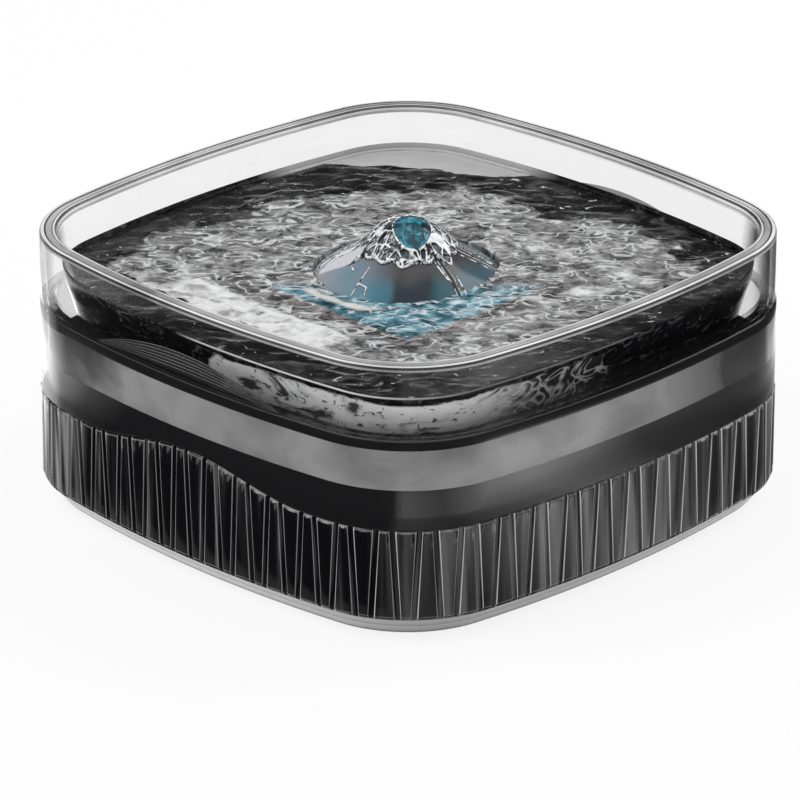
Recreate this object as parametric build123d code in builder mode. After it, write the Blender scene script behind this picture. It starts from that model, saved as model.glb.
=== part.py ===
from build123d import *
from math import atan2, cos, degrees, radians, sin, sqrt
import os

# A pet water fountain: a base with a wireless drive, a tank with a fluted band and a pump, a clear
# drinking tray with a dark bowl, a square filter deck and a fountain dome that sits on the riser.
# Frame: origin on the ground under the middle, +Z up, the front is the -Y side, millimetres.

# ------------------------------------------------------------------ driving dimensions
# plan outline of the body
body_half = 105.0           # half width across the flats at the rim
corner_radius = 43.0
side_radius = 430.0         # each side is an arc this gentle

# heights above the ground
foot_proud = 1.0            # the feet lift the pan off the ground
pan_height = 6.5            # visible height of the base pan
tank_height = 63.9          # skirt edge to seam
tray_height = 25.0          # seam to rim

# general fits
lift_clearance = 0.5        # all round, between pieces that lift apart
nest_gap = 0.15             # between pieces that stay together
running_clearance = 0.05    # radial, rotor on its shaft

# base
pan_bottom_inset = 5.6
pan_top_inset = 0.6
pan_wall = 2.2
pan_floor = 2.0
pan_flange = 6.4            # width of the shoulder that carries the tank
cover_wall = 2.0
cover_top = 1.8
plateau_height = 9.2        # base cover above the shoulder
foot_radius = 8.0
foot_recess = 1.0
foot_place = 62.0           # feet from the middle, in X and in Y
screw_place = 44.0
screw_shank = 1.45          # radius
screw_head = 2.8
screw_head_height = 1.1
screw_boss = 3.6
screw_bite = 7.0            # length of thread above the pan floor
board_width = 56.0
board_depth = 38.0
board_thickness = 1.6
board_wall_gap = 4.0        # board edge to the pan's inner wall
socket_width = 8.94
socket_height = 3.26
socket_depth = 7.3
socket_metal = 0.35
socket_back = 1.2           # thickness of the socket's back wall
tongue_width = 6.7
tongue_height = 0.7
socket_opening_gap = 0.3
coil_outer = 27.0
coil_inner = 12.0
coil_height = 2.2
ferrite_thickness = 1.6
ferrite_margin = 1.0
lead_radius = 0.6
lead_place = 3.0            # each lead from the middle
lead_lap = 3.0              # how far a lead lies on the board
post_radius = 2.4           # posts under the board
post_margin = 4.0           # posts in from the board's edges
chip_side = 7.0
chip_height = 1.1
capacitor_radius = 3.1
capacitor_height = 4.2
capacitor_pitch = 9.0
inductor_side = 8.0
inductor_height = 3.4

# tank
tank_proud = 0.6            # the tank is this much wider than the rim, on each side
tank_wall = 2.6
tank_floor = 2.4
skirt_gap = 0.3             # plateau to the underside of the tank's floor
tank_edge_chamfer = 1.0
sleeve_wall = 1.5
sleeve_height = 34.6
flute_height = 32.0
flute_hump = 7.5            # extra height of the flutes in the middle of the front and the back
hump_half = 46.0
hump_plateau_half = 19.0
flutes_per_side = 13        # pairs of facets for each quarter of the outline
flute_slant = 2.5           # how far a groove leans along the wall over its height
groove_width = 1.0
groove_depth = 0.6
groove_rise = 1.0           # start of the grooves above the tank's lower edge

# tray
skirt_wall = 2.0
skirt_flange_height = 2.0
rim_thickness = 2.4
seam_ring_height = 4.4      # dark locating ring under the skirt
bowl_wall = 1.6
bowl_floor = 2.0
bowl_rim_inset = 6.2
liner_drop = 14.9           # liner's upper edge below the rim
bowl_line_inset = 8.6       # inner face of the clear bowl at that level
bowl_low_drop = 29.9
bowl_low_inset = 13.8
bowl_depth = 34.2           # rim to the top of the clear floor
bowl_floor_inset = 20.0
liner_wall = 1.2
scoop_chord = 89.0          # finger scoops in the foot of the skirt, front and back
scoop_rise = 9.4
scoop_bite = 0.9            # depth of a scoop at its foot, beyond the bulge of the side
scoop_wall = 1.8

# filter and deck
deck_side = 76.0
deck_corner = 10.0
deck_thickness = 2.0
deck_overhang = 0.8
deck_height = 77.8          # top of the deck above the ground
weir_wall = 1.8
well_floor = 1.5
well_clearance = 1.25       # the filter well hangs this far above the lights' lens
slot_width = 2.0
slot_length = 10.0
slot_pitch = 12.0
slot_margin = 4.0           # middle of the outer slots in from the deck's edge
corner_slot_length = 8.0
corner_slot_pitch = 44.0
drain_pitch = 4.4
drain_count = 5             # drain slots on each side of the riser
frame_wall = 1.2
cotton_share = 0.36         # each layer's share of the room in the frame
carbon_share = 0.34
resin_share = 0.3
media_gap = 0.3

# dome
dome_radius = 32.0
dome_foot = 1.2
dome_wall = 1.6
dome_slope = 30.0           # mean slope of the dome, for its inner face
dome_mid_radius = 24.5
dome_mid_rise = 6.4
dome_upper_radius = 17.0
dome_upper_rise = 10.6
dome_neck_rise = 15.0
neck_wall = 1.5
neck_length = 6.0
spreader_wall = 1.5
spreader_flange = 1.0
cap_radius = 6.3
cap_height = 1.9
cap_arm_width = 2.0
cap_arm_height = 1.0
cap_round = 1.2
spreader_lift = 1.0         # foot of the spreader above the deck
locating_ring_height = 1.2
locating_ring_step = 2.6    # inside the foot of the dome
locating_ring_wall = 1.4

# pump
cup_height = 2.6
cup_radius = 6.0
cup_ring_radius = 21.0      # the four cups stand on this circle
pump_radius = 30.0
pump_plate = 2.0
pump_body_height = 15.5     # top of the plate to the top of the housing
pump_wall = 2.0
pump_roof = 2.0
rotor_well_radius = 7.5
rotor_well_wall = 1.2
rotor_well_floor = 2.0      # underside of the rotor well above the plate
stator_outer = 20.0
stator_rim = 3.0
stator_height = 6.0
stator_seat = 1.0
tooth_width = 4.0
winding_build = 1.6
receiver_radius = 22.0
receiver_inner = 12.0
receiver_coil_height = 2.0
receiver_board_height = 1.2
volute_height = 8.5
volute_roof = 1.5
chamber_radius = 15.0
chamber_wall = 1.5
outlet_radius = 5.5
riser_wall = 1.5
riser_socket_wall = 1.8
riser_socket_height = 3.0
riser_reach = 6.0           # riser above the deck
shaft_radius = 1.25
bush_radius = 3.0
bush_height = 2.0
rotor_radius = 6.6
rotor_stem = 2.8
blade_reach = 12.5
blade_thickness = 1.2
blade_height = 4.2
blade_root = 3.5
shroud_height = 1.0
rotor_end_gap = 0.5
blade_count = 6
led_ring_inner = 11.5
led_ring_outer = 20.0
led_board_height = 1.0
led_size = 3.0
led_height = 0.9
led_count = 8
lens_wall = 1.2
inlet_width = 32.0
inlet_height = 18.0
inlet_reach = 11.0          # how far the inlet cover stands out of the pump
inlet_gap = 0.3
inlet_drop = 0.5            # top of the inlet cover below the volute's top
inlet_wall = 1.5
inlet_corner = 2.4
inlet_slot = 2.0
inlet_slot_pitch = 4.5
inlet_slot_margin = 3.0
port_width = 18.0
port_height = 4.5
seal_section = 0.6          # radius of the riser's ring seal
pump_boss = 2.8
pump_boss_lap = 0.8         # how far a screw boss runs into the housing wall
pump_screw_head = 2.1
pump_screw_head_height = 1.0
pump_screw_shank = 1.0
pump_screw_bite = 8.0
spider_wall = 0.8
spider_arm = 1.2
outlet_lap = 0.8            # how far a spider arm runs into the outlet's wall
winding_end_gap = 0.6
gasket_width = 1.2
gasket_sink = 0.8

# ------------------------------------------------------------------ levels worked out from them
pan_bottom = foot_proud
shoulder = pan_bottom + pan_height
plateau = shoulder + plateau_height
seam = shoulder + tank_height
rim = seam + tray_height
tank_floor_under = plateau + skirt_gap
tank_floor_top = tank_floor_under + tank_floor
liner_edge = rim - liner_drop
bowl_low = rim - bowl_low_drop
bowl_floor_top = rim - bowl_depth
deck_under = deck_height - deck_thickness
pump_bottom = tank_floor_top + cup_height
housing_bottom = pump_bottom + pump_plate
housing_top = housing_bottom + pump_body_height
volute_top = housing_top + volute_height
lens_top = volute_top + led_board_height + led_height + nest_gap + lens_wall
well_under = lens_top + well_clearance
well_top = well_under + well_floor
riser_radius = outlet_radius + riser_wall
riser_hole = riser_radius + lift_clearance
riser_top = deck_height + riser_reach
tank_inner_inset = tank_wall - tank_proud

# ------------------------------------------------------------------ the plan outline
# Four side arcs and four corner arcs, tangent to each other. Every inset keeps the same centres.
side_offset = side_radius - body_half
corner_reach = side_radius - corner_radius
corner_place = (sqrt(2 * corner_reach**2 - side_offset**2) - side_offset) / 2
side_angle = degrees(atan2(corner_place, corner_place + side_offset))


def body_face(inset):
    """The body's outline as a flat face, this far inside the rim's outer line."""
    with BuildSketch() as face:
        with BuildLine():
            for turn in (0, 90, 180, 270):
                side_centre = Vector(-side_offset, 0).rotate(Axis.Z, turn)
                corner_centre = Vector(corner_place, corner_place).rotate(Axis.Z, turn)
                CenterArc(side_centre, side_radius - inset, turn - side_angle, 2 * side_angle)
                CenterArc(corner_centre, corner_radius - inset, turn + side_angle, 90 - 2 * side_angle)
        make_face()
    return face.sketch


def body_loft(stations):
    """A solid that passes through the outline at each (height, inset)."""
    with BuildPart() as solid:
        for height, inset in stations:
            with BuildSketch(Plane.XY.offset(height)):
                add(body_face(inset))
        loft(ruled=True)
    return solid.part


def body_block(bottom, top, inset):
    """A straight solid that follows the outline."""
    with BuildPart() as solid:
        with BuildSketch(Plane.XY.offset(bottom)):
            add(body_face(inset))
        extrude(amount=top - bottom)
    return solid.part


def body_ring(bottom, top, outer, inner):
    """A straight wall that follows the outline between two insets."""
    with BuildPart() as solid:
        with BuildSketch(Plane.XY.offset(bottom)):
            add(body_face(outer))
            add(body_face(inner), mode=Mode.SUBTRACT)
        extrude(amount=top - bottom)
    return solid.part


def disc(bottom, top, radius):
    """A round disc about the Z axis."""
    with BuildPart() as solid:
        with BuildSketch(Plane.XY.offset(bottom)):
            Circle(radius)
        extrude(amount=top - bottom)
    return solid.part


def tube(bottom, top, outer, inner):
    """A round tube about the Z axis."""
    with BuildPart() as solid:
        with BuildSketch(Plane.XY.offset(bottom)):
            Circle(outer)
            Circle(inner, mode=Mode.SUBTRACT)
        extrude(amount=top - bottom)
    return solid.part


def square_block(bottom, top, side, corner):
    """A square block with round corners about the Z axis."""
    with BuildPart() as solid:
        with BuildSketch(Plane.XY.offset(bottom)):
            RectangleRounded(side, side, corner)
        extrude(amount=top - bottom)
    return solid.part


def finish(piece, name):
    """Name a finished piece and write it."""
    piece.part.label = name
    export_step(piece.part, f"parts/{name}.step")
    print(f"{name:18s} {piece.part.volume:10.1f} mm3")


os.makedirs("parts", exist_ok=True)

# ------------------------------------------------------------------ base
pan_floor_top = pan_bottom + pan_floor
board_under = pan_floor_top + socket_height + socket_opening_gap
socket_level = board_under - socket_height / 2
pan_inner = pan_bottom_inset + pan_wall
board_back = body_half - pan_inner - board_wall_gap + pan_wall
board_centre = board_back - board_depth / 2
socket_face = body_half - (pan_bottom_inset + pan_top_inset) / 2 - socket_opening_gap
four_feet = GridLocations(2 * foot_place, 2 * foot_place, 2, 2)
four_screws = GridLocations(2 * screw_place, 2 * screw_place, 2, 2)
board_posts = GridLocations(board_width - 2 * post_margin, board_depth - 2 * post_margin, 2, 2)
cover_under = plateau - cover_top

# the pan: a shallow dish with a shoulder that carries the tank
with BuildPart() as base_pan:
    add(body_loft([(pan_bottom, pan_bottom_inset), (shoulder, pan_top_inset)]))
    add(body_loft([(pan_floor_top, pan_inner), (shoulder, pan_flange)]), mode=Mode.SUBTRACT)
    with BuildSketch(Plane.XY.offset(pan_bottom)):
        with four_feet:
            Circle(foot_radius)
    extrude(amount=foot_recess, mode=Mode.SUBTRACT)
    with BuildSketch(Plane.XY.offset(pan_bottom)):
        with four_screws:
            Circle(screw_head + nest_gap)
    extrude(amount=screw_head_height, mode=Mode.SUBTRACT)
    with BuildSketch(Plane.XY.offset(pan_bottom)):
        with four_screws:
            Circle(screw_shank + nest_gap)
    extrude(amount=pan_floor, mode=Mode.SUBTRACT)
    with BuildSketch(Plane.XY.offset(pan_floor_top)):
        with Locations((0, board_centre)):
            with board_posts:
                Circle(post_radius)
    extrude(amount=board_under - pan_floor_top)
    with BuildSketch(Plane.XZ.offset(-body_half)):
        with Locations((0, socket_level)):
            SlotOverall(socket_width + 2 * socket_opening_gap, socket_height + 2 * socket_opening_gap)
    extrude(amount=pan_inner + pan_wall, mode=Mode.SUBTRACT)
finish(base_pan, "base_pan")

# the cover: a plateau that nests in the tank's skirt, with the screw bosses under it
cover_outer = tank_inner_inset + lift_clearance
with BuildPart() as base_cover:
    add(body_block(shoulder, plateau, cover_outer))
    add(body_block(shoulder, cover_under, cover_outer + cover_wall), mode=Mode.SUBTRACT)
    with BuildSketch(Plane.XY.offset(pan_floor_top)):
        with four_screws:
            Circle(screw_boss)
    extrude(amount=cover_under - pan_floor_top)
    with BuildSketch(Plane.XY.offset(pan_floor_top)):
        with four_screws:
            Circle(screw_shank + running_clearance)
    extrude(amount=screw_bite, mode=Mode.SUBTRACT)
finish(base_cover, "base_cover")

with BuildPart() as base_screws:
    with BuildSketch(Plane.XY.offset(pan_bottom)):
        with four_screws:
            Circle(screw_head)
    extrude(amount=screw_head_height)
    with BuildSketch(Plane.XY.offset(pan_bottom + screw_head_height)):
        with four_screws:
            Circle(screw_shank)
    extrude(amount=pan_floor - screw_head_height + screw_bite)
finish(base_screws, "base_screws")

with BuildPart() as rubber_feet:
    with BuildSketch(Plane.XY):
        with four_feet:
            Circle(foot_radius - nest_gap)
    extrude(amount=foot_proud + foot_recess)
finish(rubber_feet, "rubber_feet")

with BuildPart() as drive_board:
    with BuildSketch(Plane.XY.offset(board_under)):
        with Locations((0, board_centre)):
            Rectangle(board_width, board_depth)
    extrude(amount=board_thickness)
finish(drive_board, "drive_board")

# power parts on the board: two square chips, a row of round capacitors and an inductor
board_top = board_under + board_thickness
with BuildPart() as board_parts:
    with BuildSketch(Plane.XY.offset(board_top)):
        with Locations((-2 * chip_side, board_centre + chip_side / 2)):
            Rectangle(chip_side, chip_side)
        with Locations((chip_side, board_centre - chip_side)):
            Rectangle(chip_side, chip_side)
    extrude(amount=chip_height)
    with BuildSketch(Plane.XY.offset(board_top)):
        with Locations((board_width / 2 - post_margin - capacitor_pitch / 2, board_centre)):
            with GridLocations(0, capacitor_pitch, 1, 3):
                Circle(capacitor_radius)
    extrude(amount=capacitor_height)
    with BuildSketch(Plane.XY.offset(board_top)):
        with Locations((-inductor_side, board_centre - inductor_side)):
            RectangleRounded(inductor_side, inductor_side, inductor_side / 5)
    extrude(amount=inductor_height)
finish(board_parts, "board_parts")

# the inlet: a metal shell with its tongue, flush with the back of the pan
with BuildPart() as usb_c_socket:
    with BuildSketch(Plane.XZ.offset(-socket_face)):
        with Locations((0, socket_level)):
            SlotOverall(socket_width, socket_height)
    extrude(amount=socket_depth)
    with BuildSketch(Plane.XZ.offset(-socket_face)):
        with Locations((0, socket_level)):
            SlotOverall(socket_width - 2 * socket_metal, socket_height - 2 * socket_metal)
    extrude(amount=socket_depth - socket_back, mode=Mode.SUBTRACT)
    with BuildSketch(Plane.XZ.offset(-socket_face)):
        with Locations((0, socket_level)):
            Rectangle(tongue_width, tongue_height)
    extrude(amount=socket_depth - socket_back)
finish(usb_c_socket, "usb_c_socket")

with BuildPart() as drive_coil:
    add(tube(cover_under - coil_height, cover_under, coil_outer, coil_inner))
finish(drive_coil, "drive_coil")

ferrite_top = cover_under - coil_height
with BuildPart() as coil_ferrite:
    add(disc(ferrite_top - ferrite_thickness, ferrite_top, coil_outer + ferrite_margin))
finish(coil_ferrite, "coil_ferrite")

# two leads from the board up to the coil's edge
lead_start_y = board_centre - board_depth / 2 + lead_lap
lead_start_z = board_top + lead_radius
lead_end_y = coil_outer + nest_gap
lead_end_z = cover_under - coil_height / 2
lead_run = Vector(0, lead_end_y - lead_start_y, lead_end_z - lead_start_z)
with BuildPart() as coil_leads:
    for lead_x in (-lead_place, lead_place):
        with BuildSketch(Plane(origin=(lead_x, lead_start_y, lead_start_z), z_dir=lead_run)):
            Circle(lead_radius)
        extrude(amount=lead_run.length)
finish(coil_leads, "coil_leads")

# ------------------------------------------------------------------ tank
quarter_side = radians(2 * side_angle) * (side_radius + tank_proud)
quarter_corner = radians(90 - 2 * side_angle) * (corner_radius + tank_proud)
quarter_length = quarter_side + quarter_corner


def wall_place(along):
    """Point on the tank's outer wall and its outward direction, at this length round the outline."""
    quarter, rest = divmod(along, quarter_length)
    if rest < quarter_side:
        angle = degrees(rest / (side_radius + tank_proud)) - side_angle
        centre = Vector(-side_offset, 0)
        radius = side_radius + tank_proud
    else:
        angle = degrees((rest - quarter_side) / (corner_radius + tank_proud)) + side_angle
        centre = Vector(corner_place, corner_place)
        radius = corner_radius + tank_proud
    outward = Vector(1, 0).rotate(Axis.Z, angle)
    point = centre + outward * radius
    return point.rotate(Axis.Z, 90 * quarter), outward.rotate(Axis.Z, 90 * quarter)


def flute_top(point):
    """Height of the upper end of the flutes: level, with a soft hump at the front and the back."""
    level = shoulder + flute_height
    if abs(point.Y) < abs(point.X):
        return level
    share = (hump_half - abs(point.X)) / (hump_half - hump_plateau_half)
    share = min(1, max(0, share))
    return level + flute_hump * share * share * (3 - 2 * share)


def groove_plane_and_length(index):
    """Where a groove lies: its middle plane, with Z along the groove, and its length."""
    step = quarter_length / (2 * flutes_per_side)
    lean = flute_slant / 2 if index % 2 else -flute_slant / 2
    foot, outward = wall_place((index + 0.5) * step + lean)
    head = wall_place((index + 0.5) * step - lean)[0]
    foot = Vector(foot.X, foot.Y, shoulder + groove_rise)
    head = Vector(head.X, head.Y, flute_top(head))
    run = head - foot
    return Plane(origin=(foot + head) / 2, x_dir=outward, z_dir=run), run.length


grooves = [groove_plane_and_length(index) for index in range(8 * flutes_per_side)]
groove_lengths = sorted({round(length, 3) for plane, length in grooves})

with BuildPart() as tank_shell:
    add(body_block(shoulder + tank_edge_chamfer, seam, -tank_proud))
    add(body_loft([(shoulder, tank_edge_chamfer - tank_proud), (shoulder + tank_edge_chamfer, -tank_proud)]))
    add(body_block(tank_floor_top, seam, tank_inner_inset), mode=Mode.SUBTRACT)
    add(body_block(shoulder, tank_floor_under, tank_inner_inset), mode=Mode.SUBTRACT)
    for length in groove_lengths:
        places = [plane.location for plane, run in grooves if round(run, 3) == length]
        with Locations(*places):
            Box(2 * groove_depth, groove_width, length, mode=Mode.SUBTRACT)
finish(tank_shell, "tank_shell")

# the dark sleeve that lines the lower part of the tank
sleeve_inset = tank_inner_inset + nest_gap
with BuildPart() as tank_sleeve:
    add(body_ring(tank_floor_top, tank_floor_top + sleeve_height, sleeve_inset, sleeve_inset + sleeve_wall))
finish(tank_sleeve, "tank_sleeve")

# ------------------------------------------------------------------ pump
four_cups = PolarLocations(cup_ring_radius, 4, start_angle=45)

# cups with a wide lip on the tank's floor and a narrow neck under the pump
with BuildPart() as suction_cups:
    with BuildSketch(Plane.XY.offset(tank_floor_top)):
        with four_cups:
            Circle(cup_radius)
    extrude(amount=cup_height / 2)
    with BuildSketch(Plane.XY.offset(tank_floor_top + cup_height / 2)):
        with four_cups:
            Circle(cup_radius / 2)
    extrude(amount=cup_height / 2)
finish(suction_cups, "suction_cups")

pump_screw_place = pump_radius - pump_wall - pump_boss + pump_boss_lap
three_screws = PolarLocations(pump_screw_place, 3, start_angle=90)
with BuildPart() as pump_plate_part:
    add(disc(pump_bottom, housing_bottom, pump_radius))
    with BuildSketch(Plane.XY.offset(pump_bottom)):
        with three_screws:
            Circle(pump_screw_head + nest_gap)
    extrude(amount=pump_screw_head_height, mode=Mode.SUBTRACT)
    with BuildSketch(Plane.XY.offset(pump_bottom)):
        with three_screws:
            Circle(pump_screw_shank + nest_gap)
    extrude(amount=pump_plate, mode=Mode.SUBTRACT)
finish(pump_plate_part, "pump_plate")

with BuildPart() as pump_screws:
    with BuildSketch(Plane.XY.offset(pump_bottom)):
        with three_screws:
            Circle(pump_screw_head)
    extrude(amount=pump_screw_head_height)
    with BuildSketch(Plane.XY.offset(pump_bottom + pump_screw_head_height)):
        with three_screws:
            Circle(pump_screw_shank)
    extrude(amount=pump_plate - pump_screw_head_height + pump_screw_bite)
finish(pump_screws, "pump_screws")

gasket_inner = pump_radius - (pump_wall + gasket_width) / 2
with BuildPart() as pump_gasket:
    add(tube(housing_top - gasket_sink, housing_top, gasket_inner + gasket_width, gasket_inner))
finish(pump_gasket, "pump_gasket")

# the housing: a can open at the bottom, with a blind well for the rotor and a seat for the stator
roof_under = housing_top - pump_roof
well_bore_floor = housing_bottom + rotor_well_floor + rotor_well_wall
stator_top = roof_under - stator_seat
stator_bore = rotor_well_radius + rotor_well_wall + nest_gap
with BuildPart() as pump_housing:
    add(disc(housing_bottom, housing_top, pump_radius))
    add(disc(housing_bottom, roof_under, pump_radius - pump_wall), mode=Mode.SUBTRACT)
    add(disc(housing_bottom + rotor_well_floor, housing_top, rotor_well_radius + rotor_well_wall))
    add(disc(well_bore_floor, housing_top, rotor_well_radius), mode=Mode.SUBTRACT)
    add(tube(stator_top, roof_under, stator_outer, stator_outer - stator_rim))
    with BuildSketch(Plane.XY.offset(housing_bottom)):
        with three_screws:
            Circle(pump_boss)
    extrude(amount=roof_under - housing_bottom)
    with BuildSketch(Plane.XY.offset(housing_bottom)):
        with three_screws:
            Circle(pump_screw_shank + running_clearance)
    extrude(amount=pump_screw_bite, mode=Mode.SUBTRACT)
    add(pump_gasket.part, mode=Mode.SUBTRACT)
finish(pump_housing, "pump_housing")

# wireless receiver under the stator: a flat coil on the plate with its board on top
receiver_coil_top = housing_bottom + receiver_coil_height
with BuildPart() as receiver_coil:
    add(tube(housing_bottom, receiver_coil_top, receiver_radius, receiver_inner))
finish(receiver_coil, "receiver_coil")

with BuildPart() as receiver_board:
    add(tube(receiver_coil_top, receiver_coil_top + receiver_board_height, receiver_radius, receiver_inner))
finish(receiver_board, "receiver_board")

# the stator: a ring with four teeth that reach in to the rotor well, one winding on each tooth
four_teeth = PolarLocations(0, 4)
tooth_length = stator_outer - stator_rim - stator_bore
stator_under = stator_top - stator_height
with BuildPart() as stator_core:
    with BuildSketch(Plane.XY.offset(stator_under)):
        Circle(stator_outer)
        Circle(stator_outer - stator_rim, mode=Mode.SUBTRACT)
        with four_teeth:
            with Locations((stator_outer - stator_rim / 2 - (stator_rim / 2 + tooth_length) / 2, 0)):
                Rectangle(stator_rim / 2 + tooth_length, tooth_width)
        Circle(stator_bore, mode=Mode.SUBTRACT)
    extrude(amount=stator_height)
finish(stator_core, "stator_core")

winding_inner = stator_bore + nest_gap
winding_half = tooth_width / 2 + winding_build
winding_reach = sqrt((stator_outer - stator_rim)**2 - winding_half**2) - nest_gap
winding_length = winding_reach - winding_inner - winding_end_gap
with BuildPart() as stator_windings:
    with BuildSketch(Plane.XY.offset(stator_under - winding_build)):
        with four_teeth:
            with Locations((winding_inner + winding_end_gap + winding_length / 2, 0)):
                Rectangle(winding_length, 2 * winding_half)
    extrude(amount=stator_height + winding_build + stator_seat - nest_gap)
    with BuildSketch(Plane.XY.offset(stator_under)):
        with four_teeth:
            with Locations((winding_inner + winding_end_gap + winding_length / 2, 0)):
                Rectangle(winding_length, tooth_width)
    extrude(amount=stator_height, mode=Mode.SUBTRACT)
finish(stator_windings, "stator_windings")

# ceramic shaft held in a rubber seat at each end
shaft_foot = well_bore_floor
shaft_head = volute_top
bush_bore = shaft_radius + running_clearance
with BuildPart() as pump_shaft:
    add(disc(shaft_foot, shaft_head, shaft_radius))
finish(pump_shaft, "pump_shaft")

with BuildPart() as shaft_bushes:
    add(tube(well_bore_floor, well_bore_floor + bush_height, bush_radius, bush_bore))
    add(tube(volute_top - bush_height, volute_top, bush_radius, bush_bore))
finish(shaft_bushes, "shaft_bushes")

# the volute cover: impeller chamber in the middle, inlet room around it, outlet and riser socket on top
spider_radius = bush_radius + nest_gap + spider_wall
volute_under = volute_top - volute_roof
chamber_outer = chamber_radius + chamber_wall
port_level = (housing_top + volute_under) / 2
socket_bore = riser_radius + running_clearance
with BuildPart() as volute_cover:
    add(disc(housing_top, volute_top, pump_radius))
    add(tube(housing_top, volute_under, pump_radius - pump_wall, chamber_outer), mode=Mode.SUBTRACT)
    add(disc(housing_top, volute_under, chamber_radius), mode=Mode.SUBTRACT)
    add(disc(volute_under, volute_top, outlet_radius), mode=Mode.SUBTRACT)
    with BuildSketch(Plane.XY.offset(volute_top - bush_height)):
        Circle(spider_radius)
        with PolarLocations(0, 3, start_angle=30):
            with Locations(((outlet_radius + outlet_lap) / 2, 0)):
                Rectangle(outlet_radius + outlet_lap, spider_arm)
        Circle(bush_radius + nest_gap, mode=Mode.SUBTRACT)
    extrude(amount=bush_height)
    add(tube(volute_top, volute_top + riser_socket_height, socket_bore + riser_socket_wall, socket_bore))
    with BuildSketch(Plane.XZ.offset(chamber_radius / 2)):
        with Locations((0, port_level)):
            Rectangle(port_width, port_height)
    extrude(amount=pump_radius, mode=Mode.SUBTRACT)
finish(volute_cover, "volute_cover")

# the riser: a tube from the volute to the dome, with a ring seal in a groove near its top
seal_level = riser_top - 3 * seal_section
seal_place = riser_radius - seal_section / 2 + nest_gap / 2
with BuildPart() as riser_tube:
    add(tube(volute_top, riser_top, riser_radius, outlet_radius))
    with BuildSketch(Plane.XZ):
        with Locations((seal_place, seal_level)):
            Circle(seal_section)
    revolve(axis=Axis.Z, mode=Mode.SUBTRACT)
finish(riser_tube, "riser_tube")

with BuildPart() as riser_seal:
    with BuildSketch(Plane.XZ):
        with Locations((seal_place, seal_level)):
            Circle(seal_section)
    revolve(axis=Axis.Z)
finish(riser_seal, "riser_seal")

# a ring of lights under a clear lens, on top of the volute
led_place = (led_ring_inner + led_ring_outer) / 2
with BuildPart() as led_board:
    add(tube(volute_top, volute_top + led_board_height, led_ring_outer, led_ring_inner))
finish(led_board, "led_board")

with BuildPart() as led_chips:
    with BuildSketch(Plane.XY.offset(volute_top + led_board_height)):
        with PolarLocations(led_place, led_count):
            Rectangle(led_size, led_size)
    extrude(amount=led_height)
finish(led_chips, "led_chips")

with BuildPart() as led_lens:
    lens_gap = nest_gap + lens_wall
    add(tube(volute_top, lens_top, led_ring_outer + lens_gap, led_ring_inner - lens_gap))
    pocket = tube(volute_top, lens_top - lens_wall, led_ring_outer + nest_gap, led_ring_inner - nest_gap)
    add(pocket, mode=Mode.SUBTRACT)
finish(led_lens, "led_lens")

# ------------------------------------------------------------------ rotor
rotor_foot = well_bore_floor + bush_height + rotor_end_gap
shroud_foot = housing_top + rotor_end_gap
rotor_bore = shaft_radius + running_clearance
with BuildPart() as impeller:
    add(tube(rotor_foot, shroud_foot, rotor_stem, rotor_bore))
    add(tube(shroud_foot, shroud_foot + shroud_height, blade_reach, rotor_bore))
    with BuildSketch(Plane.XY.offset(shroud_foot + shroud_height)):
        Circle(blade_root + blade_thickness)
        with PolarLocations(0, blade_count):
            with Locations(((blade_root + blade_reach) / 2, 0)):
                Rectangle(blade_reach - blade_root, blade_thickness)
        Circle(rotor_bore, mode=Mode.SUBTRACT)
    extrude(amount=blade_height)
finish(impeller, "impeller")

with BuildPart() as rotor_magnet:
    add(tube(rotor_foot, housing_top - rotor_end_gap, rotor_radius, rotor_stem + running_clearance))
finish(rotor_magnet, "rotor_magnet")

# ------------------------------------------------------------------ inlet cover and its sponge
inlet_front = pump_radius + inlet_reach
inlet_top = volute_top - inlet_drop
inlet_bottom = inlet_top - inlet_height
inlet_middle = (inlet_top + inlet_bottom) / 2
inlet_inner_width = inlet_width - 2 * inlet_wall
with BuildPart() as inlet_cover:
    with BuildSketch(Plane.XY.offset(inlet_bottom)):
        with Locations((0, -inlet_front / 2)):
            RectangleRounded(inlet_width, inlet_front, inlet_corner)
        Circle(pump_radius + inlet_gap, mode=Mode.SUBTRACT)
    extrude(amount=inlet_height)
    with BuildSketch(Plane.XY.offset(inlet_bottom + inlet_wall)):
        with Locations((0, -(inlet_front - inlet_wall) / 2)):
            Rectangle(inlet_inner_width, inlet_front - inlet_wall)
    extrude(amount=inlet_height - 2 * inlet_wall, mode=Mode.SUBTRACT)
    slot_count = int((inlet_inner_width - inlet_slot) / inlet_slot_pitch) + 1
    with BuildSketch(Plane.XZ.offset(pump_radius)):
        with Locations((0, inlet_middle)):
            with GridLocations(inlet_slot_pitch, 0, slot_count, 1):
                SlotOverall(inlet_height - 2 * inlet_slot_margin, inlet_slot, rotation=90)
    extrude(amount=2 * inlet_reach, mode=Mode.SUBTRACT)
finish(inlet_cover, "inlet_cover")

sponge_front = inlet_front - inlet_wall - media_gap
with BuildPart() as inlet_sponge:
    with BuildSketch(Plane.XY.offset(inlet_bottom + inlet_wall + media_gap)):
        with Locations((0, -sponge_front / 2)):
            Rectangle(inlet_inner_width - 2 * media_gap, sponge_front)
        Circle(pump_radius + 2 * inlet_gap, mode=Mode.SUBTRACT)
        with Locations((0, pump_radius)):
            Rectangle(4 * pump_radius, 2 * pump_radius, mode=Mode.SUBTRACT)
    extrude(amount=inlet_height - 2 * inlet_wall - 2 * media_gap)
finish(inlet_sponge, "inlet_sponge")

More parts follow.
